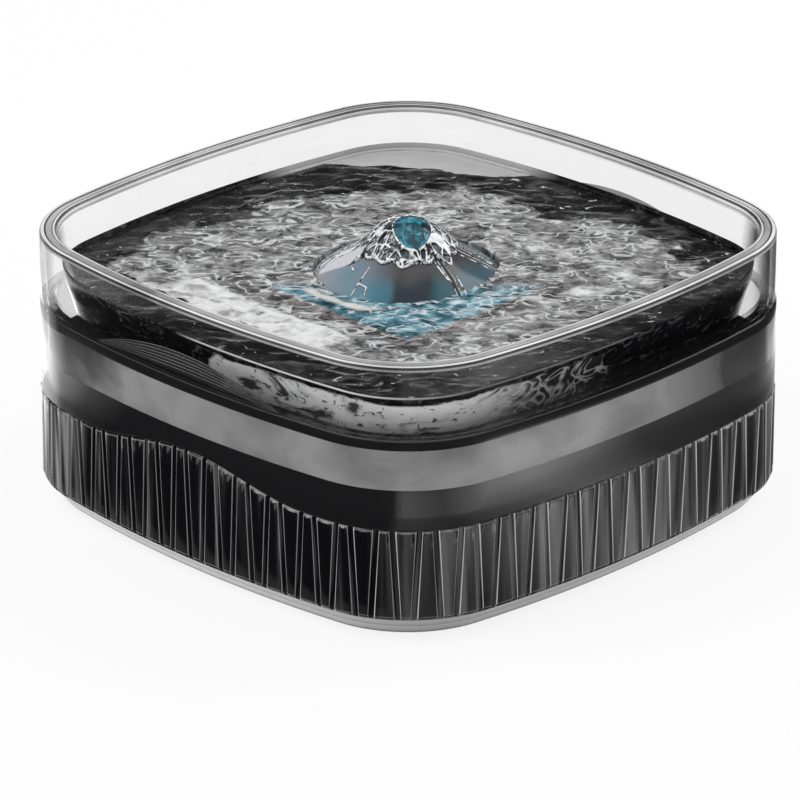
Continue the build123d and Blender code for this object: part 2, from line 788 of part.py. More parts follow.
# ------------------------------------------------------------------ tray
# Each finger scoop is cut by a large ball whose surface meets the side along an arch: the chord at
# the seam and the rise above it fix the ball's radius and centre.
scoop_half = scoop_chord / 2
scoop_depth = scoop_half**2 / (2 * side_radius) + scoop_bite
scoop_ball = scoop_half**2 / (2 * scoop_bite)
scoop_sink = (2 * scoop_ball * scoop_depth / scoop_rise - scoop_rise) / 2
scoop_out = sqrt(scoop_ball**2 - scoop_sink**2) - scoop_depth
skirt_flange = scoop_depth + scoop_wall
weir_side = deck_side - 2 * deck_overhang
weir_corner = deck_corner - deck_overhang
well_side = weir_side - 2 * weir_wall
well_corner = weir_corner - weir_wall
bowl_under = bowl_floor_top - bowl_floor
bowl_inner = [
    (bowl_floor_top, bowl_floor_inset),
    (bowl_low, bowl_low_inset),
    (liner_edge, bowl_line_inset),
    (rim, bowl_rim_inset),
]
bowl_outer = [(bowl_under, bowl_floor_inset - bowl_wall)]
bowl_outer += [(height, inset - bowl_wall) for height, inset in bowl_inner[1:]]


def scoop(side, radius):
    """The part of the skirt's foot that lies inside a scoop's ball, at the front (-1) or back (1)."""
    with BuildPart() as piece:
        add(body_block(seam, rim - rim_thickness, -tank_proud))
        with Locations((0, side * (body_half + scoop_out), seam - scoop_sink)):
            Sphere(radius, mode=Mode.INTERSECT)
    return piece.part


with BuildPart() as tray_shell:
    add(body_block(seam, rim, 0))
    add(body_block(seam + skirt_flange_height, rim - rim_thickness, skirt_wall), mode=Mode.SUBTRACT)
    add(body_block(seam, seam + skirt_flange_height, skirt_flange), mode=Mode.SUBTRACT)
    for side in (-1, 1):
        add(scoop(side, scoop_ball + scoop_wall) & body_block(seam, rim, 0))
        add(scoop(side, scoop_ball), mode=Mode.SUBTRACT)
    add(body_loft(bowl_outer))
    add(square_block(well_under, deck_under, weir_side, weir_corner))
    bowl_room = body_loft(bowl_inner) - square_block(well_under, deck_under, weir_side, weir_corner)
    add(bowl_room, mode=Mode.SUBTRACT)
    add(square_block(well_top, deck_under, well_side, well_corner), mode=Mode.SUBTRACT)
    with BuildSketch(Plane.XY.offset(well_under)):
        with PolarLocations((riser_hole + well_side / 2) / 2, 4):
            with GridLocations(0, drain_pitch, 1, drain_count):
                SlotOverall(2 * slot_length, slot_width)
        Circle(riser_hole)
    extrude(amount=well_floor, mode=Mode.SUBTRACT)
finish(tray_shell, "tray_shell")

# dark ring under the skirt: it locates the tray in the mouth of the tank
ring_outer_inset = tank_inner_inset + lift_clearance
with BuildPart() as seam_ring:
    add(body_ring(seam - seam_ring_height, seam, ring_outer_inset, skirt_flange))
finish(seam_ring, "seam_ring")

# the dark dish inside the clear bowl
liner_outer = [(height, inset + nest_gap) for height, inset in bowl_inner[:3]]
liner_inner = [(liner_outer[0][0] + liner_wall, liner_outer[0][1] + liner_wall)]
liner_inner += [(height, inset + liner_wall) for height, inset in liner_outer[1:]]
with BuildPart() as bowl_liner:
    add(body_loft(liner_outer))
    add(body_loft(liner_inner), mode=Mode.SUBTRACT)
    hole_side = weir_side + 2 * nest_gap
    add(square_block(bowl_floor_top, liner_edge, hole_side, weir_corner + nest_gap), mode=Mode.SUBTRACT)
finish(bowl_liner, "bowl_liner")

# ------------------------------------------------------------------ filter and deck
frame_side = well_side - 2 * lift_clearance
frame_corner = well_corner - lift_clearance
frame_floor = well_top + frame_wall
frame_tube = riser_hole + frame_wall
with BuildPart() as filter_frame:
    add(square_block(well_top, deck_under, frame_side, frame_corner))
    add(square_block(frame_floor, deck_under, frame_side - 2 * frame_wall, frame_corner - frame_wall),
        mode=Mode.SUBTRACT)
    add(disc(well_top, deck_under, frame_tube))
    with BuildSketch(Plane.XY.offset(well_top)):
        with PolarLocations((frame_tube + frame_side / 2) / 2, 4):
            with GridLocations(0, drain_pitch, 1, drain_count):
                SlotOverall(2 * slot_length, slot_width)
    extrude(amount=frame_wall, mode=Mode.SUBTRACT)
    add(disc(well_top, deck_under, riser_hole), mode=Mode.SUBTRACT)
finish(filter_frame, "filter_frame")

media_side = frame_side - 2 * frame_wall - 2 * media_gap
media_corner = frame_corner - frame_wall - media_gap
media_hole = frame_tube + media_gap
media_room = deck_under - frame_floor - 4 * media_gap
resin_height = resin_share * media_room
carbon_height = carbon_share * media_room
cotton_height = cotton_share * media_room
resin_foot = frame_floor + media_gap
carbon_foot = resin_foot + resin_height + media_gap
cotton_foot = carbon_foot + carbon_height + media_gap
for name, foot, height in (
    ("resin_bed", resin_foot, resin_height),
    ("carbon_bed", carbon_foot, carbon_height),
    ("cotton_pad", cotton_foot, cotton_height),
):
    with BuildPart() as media:
        with BuildSketch(Plane.XY.offset(foot)):
            RectangleRounded(media_side, media_side, media_corner)
            Circle(media_hole, mode=Mode.SUBTRACT)
        extrude(amount=height)
    finish(media, name)

# the deck: a square plate on the weir, with return slots outside the dome
outer_slots = deck_side / 2 - slot_margin
inner_slots = outer_slots - 2 * slot_width
ring_radius = dome_radius - dome_wall - locating_ring_step
with BuildPart() as filter_deck:
    add(square_block(deck_under, deck_height, deck_side, deck_corner))
    with BuildSketch(Plane.XY.offset(deck_under)):
        with PolarLocations(0, 4):
            with Locations((0, outer_slots)):
                with GridLocations(slot_pitch, 0, 5, 1):
                    SlotOverall(slot_length, slot_width)
            with Locations((0, inner_slots)):
                with GridLocations(corner_slot_pitch, 0, 2, 1):
                    SlotOverall(corner_slot_length, slot_width)
        Circle(riser_hole)
    extrude(amount=deck_thickness, mode=Mode.SUBTRACT)
    add(tube(deck_height, deck_height + locating_ring_height, ring_radius, ring_radius - locating_ring_wall))
finish(filter_deck, "filter_deck")

# ------------------------------------------------------------------ dome
spreader_bore = riser_radius + lift_clearance
spreader_radius = spreader_bore + spreader_wall
dome_neck_radius = spreader_radius + nest_gap + neck_wall
neck_top = deck_height + dome_neck_rise


def bell(drop, foot_radius):
    """Solid under the dome's curve, lowered by `drop`, down to the deck."""
    with BuildPart() as solid:
        with BuildSketch(Plane.XZ):
            with BuildLine():
                foot = deck_height + max(0, dome_foot - drop)
                curve = Spline(
                    (foot_radius, foot),
                    (dome_mid_radius, deck_height + dome_mid_rise - drop),
                    (dome_upper_radius, deck_height + dome_upper_rise - drop),
                    (dome_neck_radius, neck_top - drop),
                )
                Polyline(curve @ 1, (0, neck_top - drop), (0, deck_height), (foot_radius, deck_height))
                if drop < dome_foot:
                    Line((foot_radius, deck_height), curve @ 0)
            make_face()
        revolve(axis=Axis.Z)
    return solid.part


dome_drop = dome_wall / cos(radians(dome_slope))
with BuildPart() as dome_shell:
    add(bell(0, dome_radius))
    add(bell(dome_drop, dome_radius - dome_wall), mode=Mode.SUBTRACT)
    add(disc(neck_top - neck_length, neck_top, dome_neck_radius))
    add(disc(neck_top - neck_length, neck_top, spreader_radius + nest_gap), mode=Mode.SUBTRACT)
finish(dome_shell, "dome_shell")

flange_top = neck_top + spreader_flange
with BuildPart() as flow_spreader:
    add(tube(deck_height + spreader_lift, neck_top, spreader_radius, spreader_bore))
    add(tube(neck_top, flange_top, dome_neck_radius, spreader_bore))
finish(flow_spreader, "flow_spreader")

with BuildPart() as nozzle_cap:
    with BuildSketch(Plane.XY.offset(flange_top)):
        Circle(cap_radius)
    extrude(amount=cap_height)
    fillet(edges().group_by(Axis.Z)[-1], cap_round)
    with BuildSketch(Plane.XY.offset(flange_top)):
        with PolarLocations(0, 3, start_angle=90):
            with Locations((dome_neck_radius / 2, 0)):
                Rectangle(dome_neck_radius - nest_gap, cap_arm_width)
    extrude(amount=cap_arm_height)
finish(nozzle_cap, "nozzle_cap")
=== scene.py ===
# %% [markdown]
# # A square pet water fountain
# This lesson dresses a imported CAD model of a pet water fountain: a fluted smoke-clear tank, a clear
# drinking tray with a dark bowl, a lit square deck, a low dome and the water that runs over it.
# The CAD model is loaded first and stays fixed, so every new piece is built at its real size and in
# its real place. Meshes are written in millimetres and turn into metres when they are made; finishes
# read their place on the object in metres.

# %% load the frame
from math import atan2, cos, pi, radians, sin, sqrt

import bmesh
import bpy
import numpy as np
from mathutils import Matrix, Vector, noise
from mathutils.bvhtree import BVHTree


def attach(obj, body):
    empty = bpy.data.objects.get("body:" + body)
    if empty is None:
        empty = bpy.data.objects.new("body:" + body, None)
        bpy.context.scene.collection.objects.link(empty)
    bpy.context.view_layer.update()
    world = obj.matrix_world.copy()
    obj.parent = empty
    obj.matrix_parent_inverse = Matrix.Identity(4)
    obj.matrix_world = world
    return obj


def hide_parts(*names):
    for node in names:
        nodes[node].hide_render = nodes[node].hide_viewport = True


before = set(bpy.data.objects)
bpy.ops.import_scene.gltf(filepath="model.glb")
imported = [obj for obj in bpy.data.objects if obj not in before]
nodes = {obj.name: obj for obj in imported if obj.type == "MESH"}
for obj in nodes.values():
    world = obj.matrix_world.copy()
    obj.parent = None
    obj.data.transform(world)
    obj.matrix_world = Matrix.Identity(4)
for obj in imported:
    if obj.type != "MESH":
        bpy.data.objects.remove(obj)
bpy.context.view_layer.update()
MM = 0.001

# %% [markdown]
# ## Camera
# The object is seen from a low corner with a long lens, so that its sides stay almost parallel. A
# camera is placed by an angle round the object, an angle above the ground and a distance, and then
# turned to look at one point. That is easier to reason about than three rotation angles.

# %% camera
AZIMUTH, ELEVATION, DISTANCE = radians(45.0), radians(23.84), 1.983
LOOK_AT = Vector((-0.00192, -0.00192, 0.0326))
LENS, SENSOR = 259.07, 36.0


def put_in_scene(name, data):
    thing = bpy.data.objects.new(name, data)
    bpy.context.scene.collection.objects.link(thing)
    return thing


away = Vector((sin(AZIMUTH) * cos(ELEVATION), -cos(AZIMUTH) * cos(ELEVATION), sin(ELEVATION)))
camera = put_in_scene("camera", bpy.data.cameras.new("camera"))
camera.location = Vector((0, 0, MM)) + away * DISTANCE
camera.rotation_euler = (LOOK_AT - camera.location).to_track_quat("-Z", "Y").to_euler()
camera.data.lens, camera.data.sensor_width = LENS, SENSOR
bpy.context.scene.camera = camera
print("camera at", [round(v, 3) for v in camera.location])

# %% [markdown]
# ## Colour helpers
# Every finish is one Principled shader. Real plastic and water are never even, so its sockets follow
# numbers that change from point to point. A Value stands for such a number, and plain sums with it
# add the shader's math nodes. Places are read from the object itself, so a pattern keeps its true
# scale and stays put from every side. A colour is a grey level, a (grey, blue) pair or a full colour.

# %% values
def add_node(owner, kind, **values):
    """One more node in a material, a world or a node tree; values it has no property for go to sockets."""
    node = getattr(owner, "node_tree", owner).nodes.new(kind)
    for key, value in values.items():
        if hasattr(node, key):
            setattr(node, key, value)
        else:
            node.inputs[key.replace("_", " ")].default_value = value
    return node


def join(output, socket):
    socket.id_data.links.new(output, socket)


def colour_of(colour):
    """Red, green, blue and opacity, from a grey level, a (grey, blue) pair or a full colour."""
    if isinstance(colour, (int, float)):
        colour = (colour, colour)
    return (*colour, 1) if len(colour) == 3 else (colour[0], *colour, 1)


def feed(socket, value):
    """Give a socket a Value, a colour or a number."""
    if isinstance(value, Value):
        join(value.output, socket)
    elif socket.type == "RGBA":
        socket.default_value = colour_of(value)
    else:
        socket.default_value = value


class Value:
    """A number that differs from point to point; sums with it become math nodes."""

    def __init__(self, output):
        self.output, self.tree = output, output.id_data

    def maths(self, operation, first, second=0.0):
        node = add_node(self.tree, "ShaderNodeMath", operation=operation)
        feed(node.inputs[0], first)
        feed(node.inputs[1], second)
        return Value(node.outputs["Value"])

    def __add__(self, other):
        return self.maths("ADD", self, other)

    def __sub__(self, other):
        return self.maths("SUBTRACT", self, other)

    def __rsub__(self, other):
        return self.maths("SUBTRACT", other, self)

    def __mul__(self, other):
        return self.maths("MULTIPLY", self, other)

    def __abs__(self):
        return self.maths("ABSOLUTE", self)

    def at_least(self, other):
        return self.maths("MAXIMUM", self, other)


# %% values to values
def remap(value, low, high, start, end):
    """low where the value is at start, high where it is at end, and held beyond them."""
    node = add_node(value.tree, "ShaderNodeMapRange", From_Min=start, From_Max=end, To_Min=low, To_Max=high)
    feed(node.inputs["Value"], value)
    return Value(node.outputs["Result"])


def rise(value, start, end):
    return remap(value, 0.0, 1.0, start, end)


def fall(value, start, end):
    return remap(value, 1.0, 0.0, start, end)


def ramp(value, *stops):
    """A colour for each value, blended between (place, colour) stops."""
    node = add_node(value.tree, "ShaderNodeValToRGB")
    while len(node.color_ramp.elements) < len(stops):
        node.color_ramp.elements.new(0.5)
    for element, (place, colour) in zip(node.color_ramp.elements, stops):
        element.position = place
        element.color = colour_of(colour)
    feed(node.inputs["Fac"], value)
    return Value(node.outputs["Color"])


def blend(share, first, second):
    """The first colour where the share is 0, the second where it is 1."""
    node = add_node(share.tree, "ShaderNodeMix", data_type="RGBA")
    for socket, value in ((node.inputs["Factor"], share), (node.inputs[6], first), (node.inputs[7], second)):
        feed(socket, value)
    return Value(node.outputs[2])


# %% places and noises
def object_place(owner, stretch=(1, 1, 1)):
    place = add_node(owner, "ShaderNodeTexCoord")
    mapping = add_node(owner, "ShaderNodeMapping")
    mapping.inputs["Scale"].default_value = stretch
    join(place.outputs["Object"], mapping.inputs["Vector"])
    return mapping.outputs["Vector"]


def plan_place(owner):
    """Place on the object: across (X + Y), toward the front corner (X - Y) and height."""
    place = add_node(owner, "ShaderNodeTexCoord")
    split = add_node(owner, "ShaderNodeSeparateXYZ")
    join(place.outputs["Object"], split.inputs["Vector"])
    x, y, height = (Value(split.outputs[axis]) for axis in "XYZ")
    return x + y, x - y, height


def noise_at(owner, place, scale, detail, distortion):
    texture = add_node(owner, "ShaderNodeTexNoise", Scale=scale, Detail=detail, Distortion=distortion)
    join(place, texture.inputs["Vector"])
    return Value(texture.outputs["Fac"])


def grain(owner, scale, detail=4.0, stretch=(1, 1, 1), distortion=0.0):
    return noise_at(owner, object_place(owner, stretch), scale, detail, distortion)


# %% finishes
GRAIN_LOW, GRAIN_HIGH = 0.3, 0.7


def wear(material, **sockets):
    """Set the shader's sockets, named with _ for a space."""
    shader = material.node_tree.nodes["Principled BSDF"]
    for socket, value in sockets.items():
        feed(shader.inputs[socket.replace("_", " ")], value)


def new_material(name, colour, roughness, gloss=None, skin=None, **sockets):
    """A Principled material. Gloss is (scale, low, high); skin is (scale, detail, strength, distance)."""
    material = bpy.data.materials.new(name)
    material.use_nodes = True
    wear(material, Base_Color=colour, Roughness=roughness, **sockets)
    if gloss:
        scale, low, high = gloss
        wear(material, Roughness=remap(grain(material, scale), low, high, GRAIN_LOW, GRAIN_HIGH))
    if skin:
        scale, detail, strength, distance = skin
        relief(material, grain(material, scale, detail), strength, distance)
    return material


def relief(material, height, strength, distance):
    bump = add_node(material, "ShaderNodeBump", Strength=strength, Distance=distance)
    feed(bump.inputs["Height"], height)
    wear(material, Normal=Value(bump.outputs["Normal"]))


# %% [markdown]
# ## Mesh helpers
# Nearly every moulding here follows the same plan outline: a square with bulged sides and round
# corners, made of eight arcs. One function gives a ring of points on that outline, at any inset and
# height. A moulding is then a stack of such rings, stitched to each other with quads, the way a
# potter's profile is swept round a wheel, only that this wheel is square.

# %% outline
# half the width across the flats, the radius of the corners and that of the bulged sides
HALF, CORNER, SIDE = 105.0, 43.0, 430.0
OFFSET = SIDE - HALF
CORNER_AT = (sqrt(2 * (SIDE - CORNER) ** 2 - OFFSET ** 2) - OFFSET) / 2
SIDE_TURN = atan2(CORNER_AT, CORNER_AT + OFFSET)


def outline_angles(side_steps, corner_steps):
    """For each point: centre, direction of the arc and which arc radius it has."""
    centres, turns, radii = [], [], []
    for quarter in range(4):
        start = quarter * pi / 2
        steps = side_steps[quarter % len(side_steps)]
        for i in range(steps):
            centres.append((-OFFSET * cos(start), -OFFSET * sin(start)))
            turns.append(start - SIDE_TURN + 2 * SIDE_TURN * i / steps)
            radii.append(SIDE)
        for i in range(corner_steps):
            centres.append((CORNER_AT * cos(start) - CORNER_AT * sin(start),
                            CORNER_AT * sin(start) + CORNER_AT * cos(start)))
            turns.append(start + SIDE_TURN + (pi / 2 - 2 * SIDE_TURN) * i / corner_steps)
            radii.append(CORNER)
    return np.array(centres), np.array(turns), np.array(radii)


def level_ring(x, y, height):
    """Points of one ring, (N, 3) in millimetres; the height may differ from point to point."""
    return np.stack([x, y, np.zeros(len(x)) + height], 1)


def bearing_of(ring):
    return np.arctan2(ring[:, 1], ring[:, 0])


def outline_ring(grid, inset, height):
    """A ring on the outline; inset and height may differ from point to point."""
    centres, turns, radii = grid
    reach = radii - inset
    return level_ring(centres[:, 0] + reach * np.cos(turns), centres[:, 1] + reach * np.sin(turns), height)


def square_ring(grid, half, corner, height):
    """A ring on a square with round corners, met by rays from the middle at the grid's own angles."""
    bearing = bearing_of(outline_ring(grid, 0, 0))
    c, s = np.cos(bearing), np.sin(bearing)
    flat = half / np.maximum(np.abs(c), np.abs(s))
    k = half - corner
    b = k * (np.abs(c) + np.abs(s))
    arc = b + np.sqrt(np.maximum(b * b - 2 * k * k + corner * corner, 0))
    x, y = np.abs(flat * c), np.abs(flat * s)
    reach = np.where((x > k) & (y > k), arc, flat)
    return level_ring(reach * c, reach * s, height)


def round_ring(grid, radius, height):
    bearing = bearing_of(outline_ring(grid, 0, 0))
    return level_ring(radius * np.cos(bearing), radius * np.sin(bearing), height)


# %% stitching
def make_piece(name, points, faces, material, sharp=32.0):
    """A smooth mesh object from points in millimetres, with its edges kept crisp above an angle."""
    mesh = bpy.data.meshes.new(name)
    mesh.from_pydata([tuple(p) for p in np.asarray(points, float) * MM], [], faces)
    mesh.validate()
    work = bmesh.new()
    work.from_mesh(mesh)
    bmesh.ops.recalc_face_normals(work, faces=work.faces)
    work.to_mesh(mesh)
    work.free()
    mesh.shade_smooth()
    mesh.set_sharp_from_angle(angle=radians(sharp))
    mesh.materials.append(material)
    print(f"{name}: {len(mesh.vertices)} points, {len(mesh.polygons)} faces")
    return put_in_scene(name, mesh)


def stitch(rings, loop=True, first=None, last=None):
    """Quads between rings. With loop the last ring meets the first; first and last are centre points."""
    count = len(rings[0])
    points = np.concatenate(rings)
    faces = []
    pairs = [(i, i + 1) for i in range(len(rings) - 1)] + ([(len(rings) - 1, 0)] if loop else [])
    for a, b in pairs:
        for i in range(count):
            j = (i + 1) % count
            faces.append((a * count + i, a * count + j, b * count + j, b * count + i))
    for middle, ring, flip in ((first, 0, True), (last, len(rings) - 1, False)):
        if middle is not None:
            centre = len(points)
            points = np.concatenate([points, [middle]])
            for i in range(count):
                j = (i + 1) % count
                a, b = ring * count + i, ring * count + j
                faces.append((centre, b, a) if flip else (centre, a, b))
    return points, faces


# %% [markdown]
# ## Clear and dark plastics
# The tray is clear plastic, the tank is the same with a smoke tint, and the parts that should hide
# the works are moulded in near black. A thin wall hardly bends light, so the clear wall here is a skin
# that is almost open when seen face on and turns into a mirror toward its edge; its mirror colour is
# painted lighter on the left than on the right, as painted reflection. A thick rim does bend light: it
# gathers it in bands. Those bands of light and shade are painted, each with a finish of its own.

# %% clear plastic
clear_wall = new_material("clear wall", (0.6, 0.61), 0.02, (40, 0.01, 0.035), (18, 2.0, 0.01, 0.0002),
                          Metallic=1.0)
across, _, _ = plan_place(clear_wall)
# painted reflection: the wall's mirror colour is light on the left and darker toward the right
shaded_right_side = rise(across, -0.1, 0.14)
facing = add_node(clear_wall, "ShaderNodeLayerWeight", Blend=0.5)
edge_on = Value(facing.outputs["Facing"]) + shaded_right_side * 0.16
wear(clear_wall, Base_Color=blend(shaded_right_side, (0.72, 0.73), (0.3, 0.31)),
     Alpha=remap(edge_on, 0.04, 0.8, 0.66, 1.0))


def painted_rim_band(name, dark, light, alpha):
    """One band along a rim, its colour a painted band of the light or shade the thick rim gathers."""
    material = new_material(name, light, 0.06, (70, 0.04, 0.1), IOR=1.46, Alpha=alpha)
    drift = grain(material, 22, 3.0, (1, 1, 0.2), 0.8)
    wear(material, Base_Color=ramp(drift, (0.36, dark), (0.62, light)))
    return material


RIM_DARK, RIM_GREY, RIM_LIGHT = 0, 1, 2
painted_rim_bands = [painted_rim_band("rim dark line", 0.012, 0.07, 0.95), painted_rim_band("rim grey band", 0.2, 0.48, 0.8),
                painted_rim_band("rim bright band", 0.62, 0.93, 0.92)]


def mesh_value(owner, name):
    return Value(add_node(owner, "ShaderNodeAttribute", attribute_name=name).outputs["Fac"])


# the scoop is cut in fine steps; the light their edges catch is painted on as pale lines,
# with painted dark shade lines beside them
step_plastic = new_material("stepped scoop", 0.1, 0.12, (120, 0.08, 0.2), Alpha=0.75, IOR=1.46)
step_light_and_shade = ramp(mesh_value(step_plastic, "step_highlight_and_shade"), (0.0, (0.025, 0.026)), (0.45, (0.1, 0.102)),
                 (0.7, 0.005), (1.0, 0.75))
wear(step_plastic, Base_Color=step_light_and_shade)
print("clear finishes made")

# %% [markdown]
# Light wraps round the two side corners of the tank and washes them out. The wall's opacity says so:
# it is nearly clear at those corners, behind their widest point. A pale edge, a painted highlight, is
# added at the left one, and the smoke grey is painted darker toward both sides as shade.

# %% smoky plastic
def seen_corner(material, clear, solid):
    """Opacity of a wall: clear at the two side corners, behind their widest point, solid elsewhere."""
    across, toward, _ = plan_place(material)
    nearer = rise(toward, -0.006, 0.010)
    middle = fall(abs(across), 0.138, 0.148)
    off_edge = rise(across, -0.181, -0.168)
    share = nearer.at_least(middle) * off_edge
    return remap(share, clear, solid, 0.0, 1.0).at_least((1.0 - off_edge) * 0.6)


smoky_plastic = new_material("smoky plastic", 0.27, 0.05, skin=(30, 2.0, 0.02, 0.0002), IOR=1.45,
                             Specular_IOR_Level=0.4)
cloud = grain(smoky_plastic, 38, 3.0, (1, 1, 1.4), 0.5)
across, _, _ = plan_place(smoky_plastic)
# painted shade: the smoke grey turns dark toward both sides; a painted highlight lightens the left edge
shaded_sides = remap(abs(across + (cloud - 0.5) * 0.06), 0.0, 0.88, 0.125, 0.155)
tint_and_shade = ramp(cloud, (0.34, (0.2, 0.202)), (0.5, (0.27, 0.272)), (0.66, (0.35, 0.352)))
tint_and_shade = blend(fall(across, -0.18, -0.162), blend(shaded_sides, tint_and_shade, 0.02), (0.5, 0.51))
wear(smoky_plastic, Base_Color=tint_and_shade, Alpha=seen_corner(smoky_plastic, 0.16, 0.8))
print("smoky plastic made")

# %% dark plastics
# the light that the flutes' thin crests catch is painted on their edges as pale lines
flute_plastic = new_material("dark fluted plastic", (0.01, 0.011), 0.12, (180, 0.08, 0.15), IOR=1.5,
                             Specular_IOR_Level=0.8)
across, _, _ = plan_place(flute_plastic)
# painted sheen in vertical streaks: darker on the left face, lighter on the right, pale at the left end
streak = grain(flute_plastic, 210, 1.5, (1, 1, 0.05), 0.3)
shaded_left_tone = ramp(streak, (0.54, (0.004, 0.005)), (0.64, (0.015, 0.016)), (0.7, (0.09, 0.092)))
lit_right_tone = ramp(streak, (0.4, (0.005, 0.006)), (0.52, (0.025, 0.026)), (0.62, (0.1, 0.102)))
end_highlight_tone = ramp(streak, (0.42, (0.012, 0.013)), (0.52, (0.2, 0.202)), (0.6, (0.55, 0.56)))
painted_side_tone = blend(rise(across, -0.015, 0.02), shaded_left_tone, lit_right_tone)
painted_side_tone = blend(fall(across, -0.178, -0.155), painted_side_tone, end_highlight_tone)
crest_highlight = rise(mesh_value(flute_plastic, "edge_highlight"), 0.3, 1.0)
wear(flute_plastic, Base_Color=blend(crest_highlight, painted_side_tone, (0.6, 0.61)))

band_plastic = new_material("dark band plastic", (0.01, 0.011), 0.08, (60, 0.06, 0.12), IOR=1.5,
                            Specular_IOR_Level=0.7)
across, _, _ = plan_place(band_plastic)
# painted highlight: the dark band turns pale at the left edge
wear(band_plastic, Base_Color=blend(fall(across, -0.18, -0.166), (0.01, 0.011), (0.48, 0.49)),
     Alpha=seen_corner(band_plastic, 0.16, 1.0))

ring_plastic = new_material("dark seam ring", (0.014, 0.015), 0.14, (120, 0.1, 0.2), (160, 3.0, 0.02, 0.0001),
                            IOR=1.46, Specular_IOR_Level=0.3)
wear(ring_plastic, Alpha=seen_corner(ring_plastic, 0.0, 1.0))

dark_plastic = new_material("dark plastic", (0.012, 0.013), 0.12, (150, 0.1, 0.18), (200, 3.0, 0.02, 0.0001),
                            IOR=1.46)
print("tank finishes made")

# %% [markdown]
# ## The fluted tank
# The lower half of the tank is a band of tall narrow facets. Each one is a slim wedge: one is wide
# at the top and the next is wide at the foot, so the grooves between them lean to and fro. A
# repeated modifier would give straight, equal ribs. Here the wall is stitched from rings whose
# columns slide along the outline as they climb, with fourteen columns to a facet, so that each facet
# gets its own soft bulge, a bevel all round and a groove on each side.

# %% tank levels
SHOULDER, SEAM, TANK_PROUD = 7.5, 71.4, 0.6
FLUTE_TOP, HUMP, HUMP_REACH = 39.5, 7.5, 54.0
FACET_PAIRS, LEAN = 13, 1.25
side_length = 2 * SIDE_TURN * (SIDE + TANK_PROUD)
corner_length = (pi / 2 - 2 * SIDE_TURN) * (CORNER + TANK_PROUD)
quarter_length = side_length + corner_length
pitch = quarter_length / (2 * FACET_PAIRS)  # the pairs are counted in one quarter
print("facet pitch", round(pitch, 2), "mm")


def wall_point(along, proud):
    """Point on the tank's outer wall at a length round the outline, this far proud of it."""
    quarter, rest = np.divmod(along, quarter_length)
    on_side = rest < side_length
    turn = np.where(on_side, rest / (SIDE + TANK_PROUD) - SIDE_TURN,
                    (rest - side_length) / (CORNER + TANK_PROUD) + SIDE_TURN)
    centre_x = np.where(on_side, -OFFSET, CORNER_AT)
    centre_y = np.where(on_side, 0.0, CORNER_AT)
    reach = np.where(on_side, SIDE, CORNER) + TANK_PROUD + proud
    x, y = centre_x + reach * np.cos(turn), centre_y + reach * np.sin(turn)
    spin = quarter * pi / 2
    return x * np.cos(spin) - y * np.sin(spin), x * np.sin(spin) + y * np.cos(spin)


def flute_top(x, y):
    """Upper end of the facets: level, with a soft hump on the front and the back."""
    along = np.clip(np.abs(x - 3.0 * np.sign(-y)) / HUMP_REACH, 0, 1)
    hump = HUMP * 0.5 * (1 + np.cos(pi * along))
    return FLUTE_TOP + np.where(np.abs(y) > np.abs(x), hump, 0)


# %% tank wall
# one facet's columns: share of the facet's width, how far proud of the wall, how much painted edge highlight
facet_profile = [(0.0, -0.75, 0), (0.07, -0.75, 0), (0.12, -0.35, 0), (0.15, -0.02, 1), (0.168, 0.04, 1),
                 (0.185, 0.08, 0), (0.36, 0.29, 0), (0.5, 0.35, 0), (0.64, 0.29, 0), (0.815, 0.08, 0),
                 (0.832, 0.04, 0.6), (0.85, -0.02, 0.6), (0.88, -0.35, 0), (0.93, -0.75, 0)]
foot_at, head_at, proud_at, edge_highlight_at = [], [], [], []
for facet in range(4 * 2 * FACET_PAIRS):
    lean = LEAN if facet % 2 else -LEAN
    foot_0, foot_1 = (facet + 0.5) * pitch + lean, (facet + 1.5) * pitch - lean
    head_0, head_1 = (facet + 0.5) * pitch - lean, (facet + 1.5) * pitch + lean
    for share, proud, edge in facet_profile:
        foot_at.append(foot_0 + share * (foot_1 - foot_0))
        head_at.append(head_0 + share * (head_1 - head_0))
        proud_at.append(proud)
        edge_highlight_at.append(edge)
foot_at, head_at, proud_at, edge_highlight_at = map(np.array, (foot_at, head_at, proud_at, edge_highlight_at))
top_at = flute_top(*wall_point(head_at, 0))
print(len(foot_at), "columns round the tank, facets up to", round(float(top_at.max()), 1), "mm")


def tank_ring(share, proud, height=None):
    """A ring of the fluted band: share 0 is its foot, 1 its upper end."""
    x, y = wall_point(foot_at + share * (head_at - foot_at), proud)
    return level_ring(x, y, SHOULDER + 1.0 + share * (top_at - SHOULDER - 1.0) if height is None else height)


def inner_ring(inset, height):
    return level_ring(*wall_point(head_at, -inset - TANK_PROUD), height)


# %% [markdown]
# The tank wall changes finish with height: dark and glossy up to the level of the dark sleeve inside
# it, smoke grey above, and dark again under the seam. Its inner side is dark too, painted shade of the
# closed tank. The faces get their material by the ring they belong to, so a real edge line parts the
# finishes and no mask is needed.

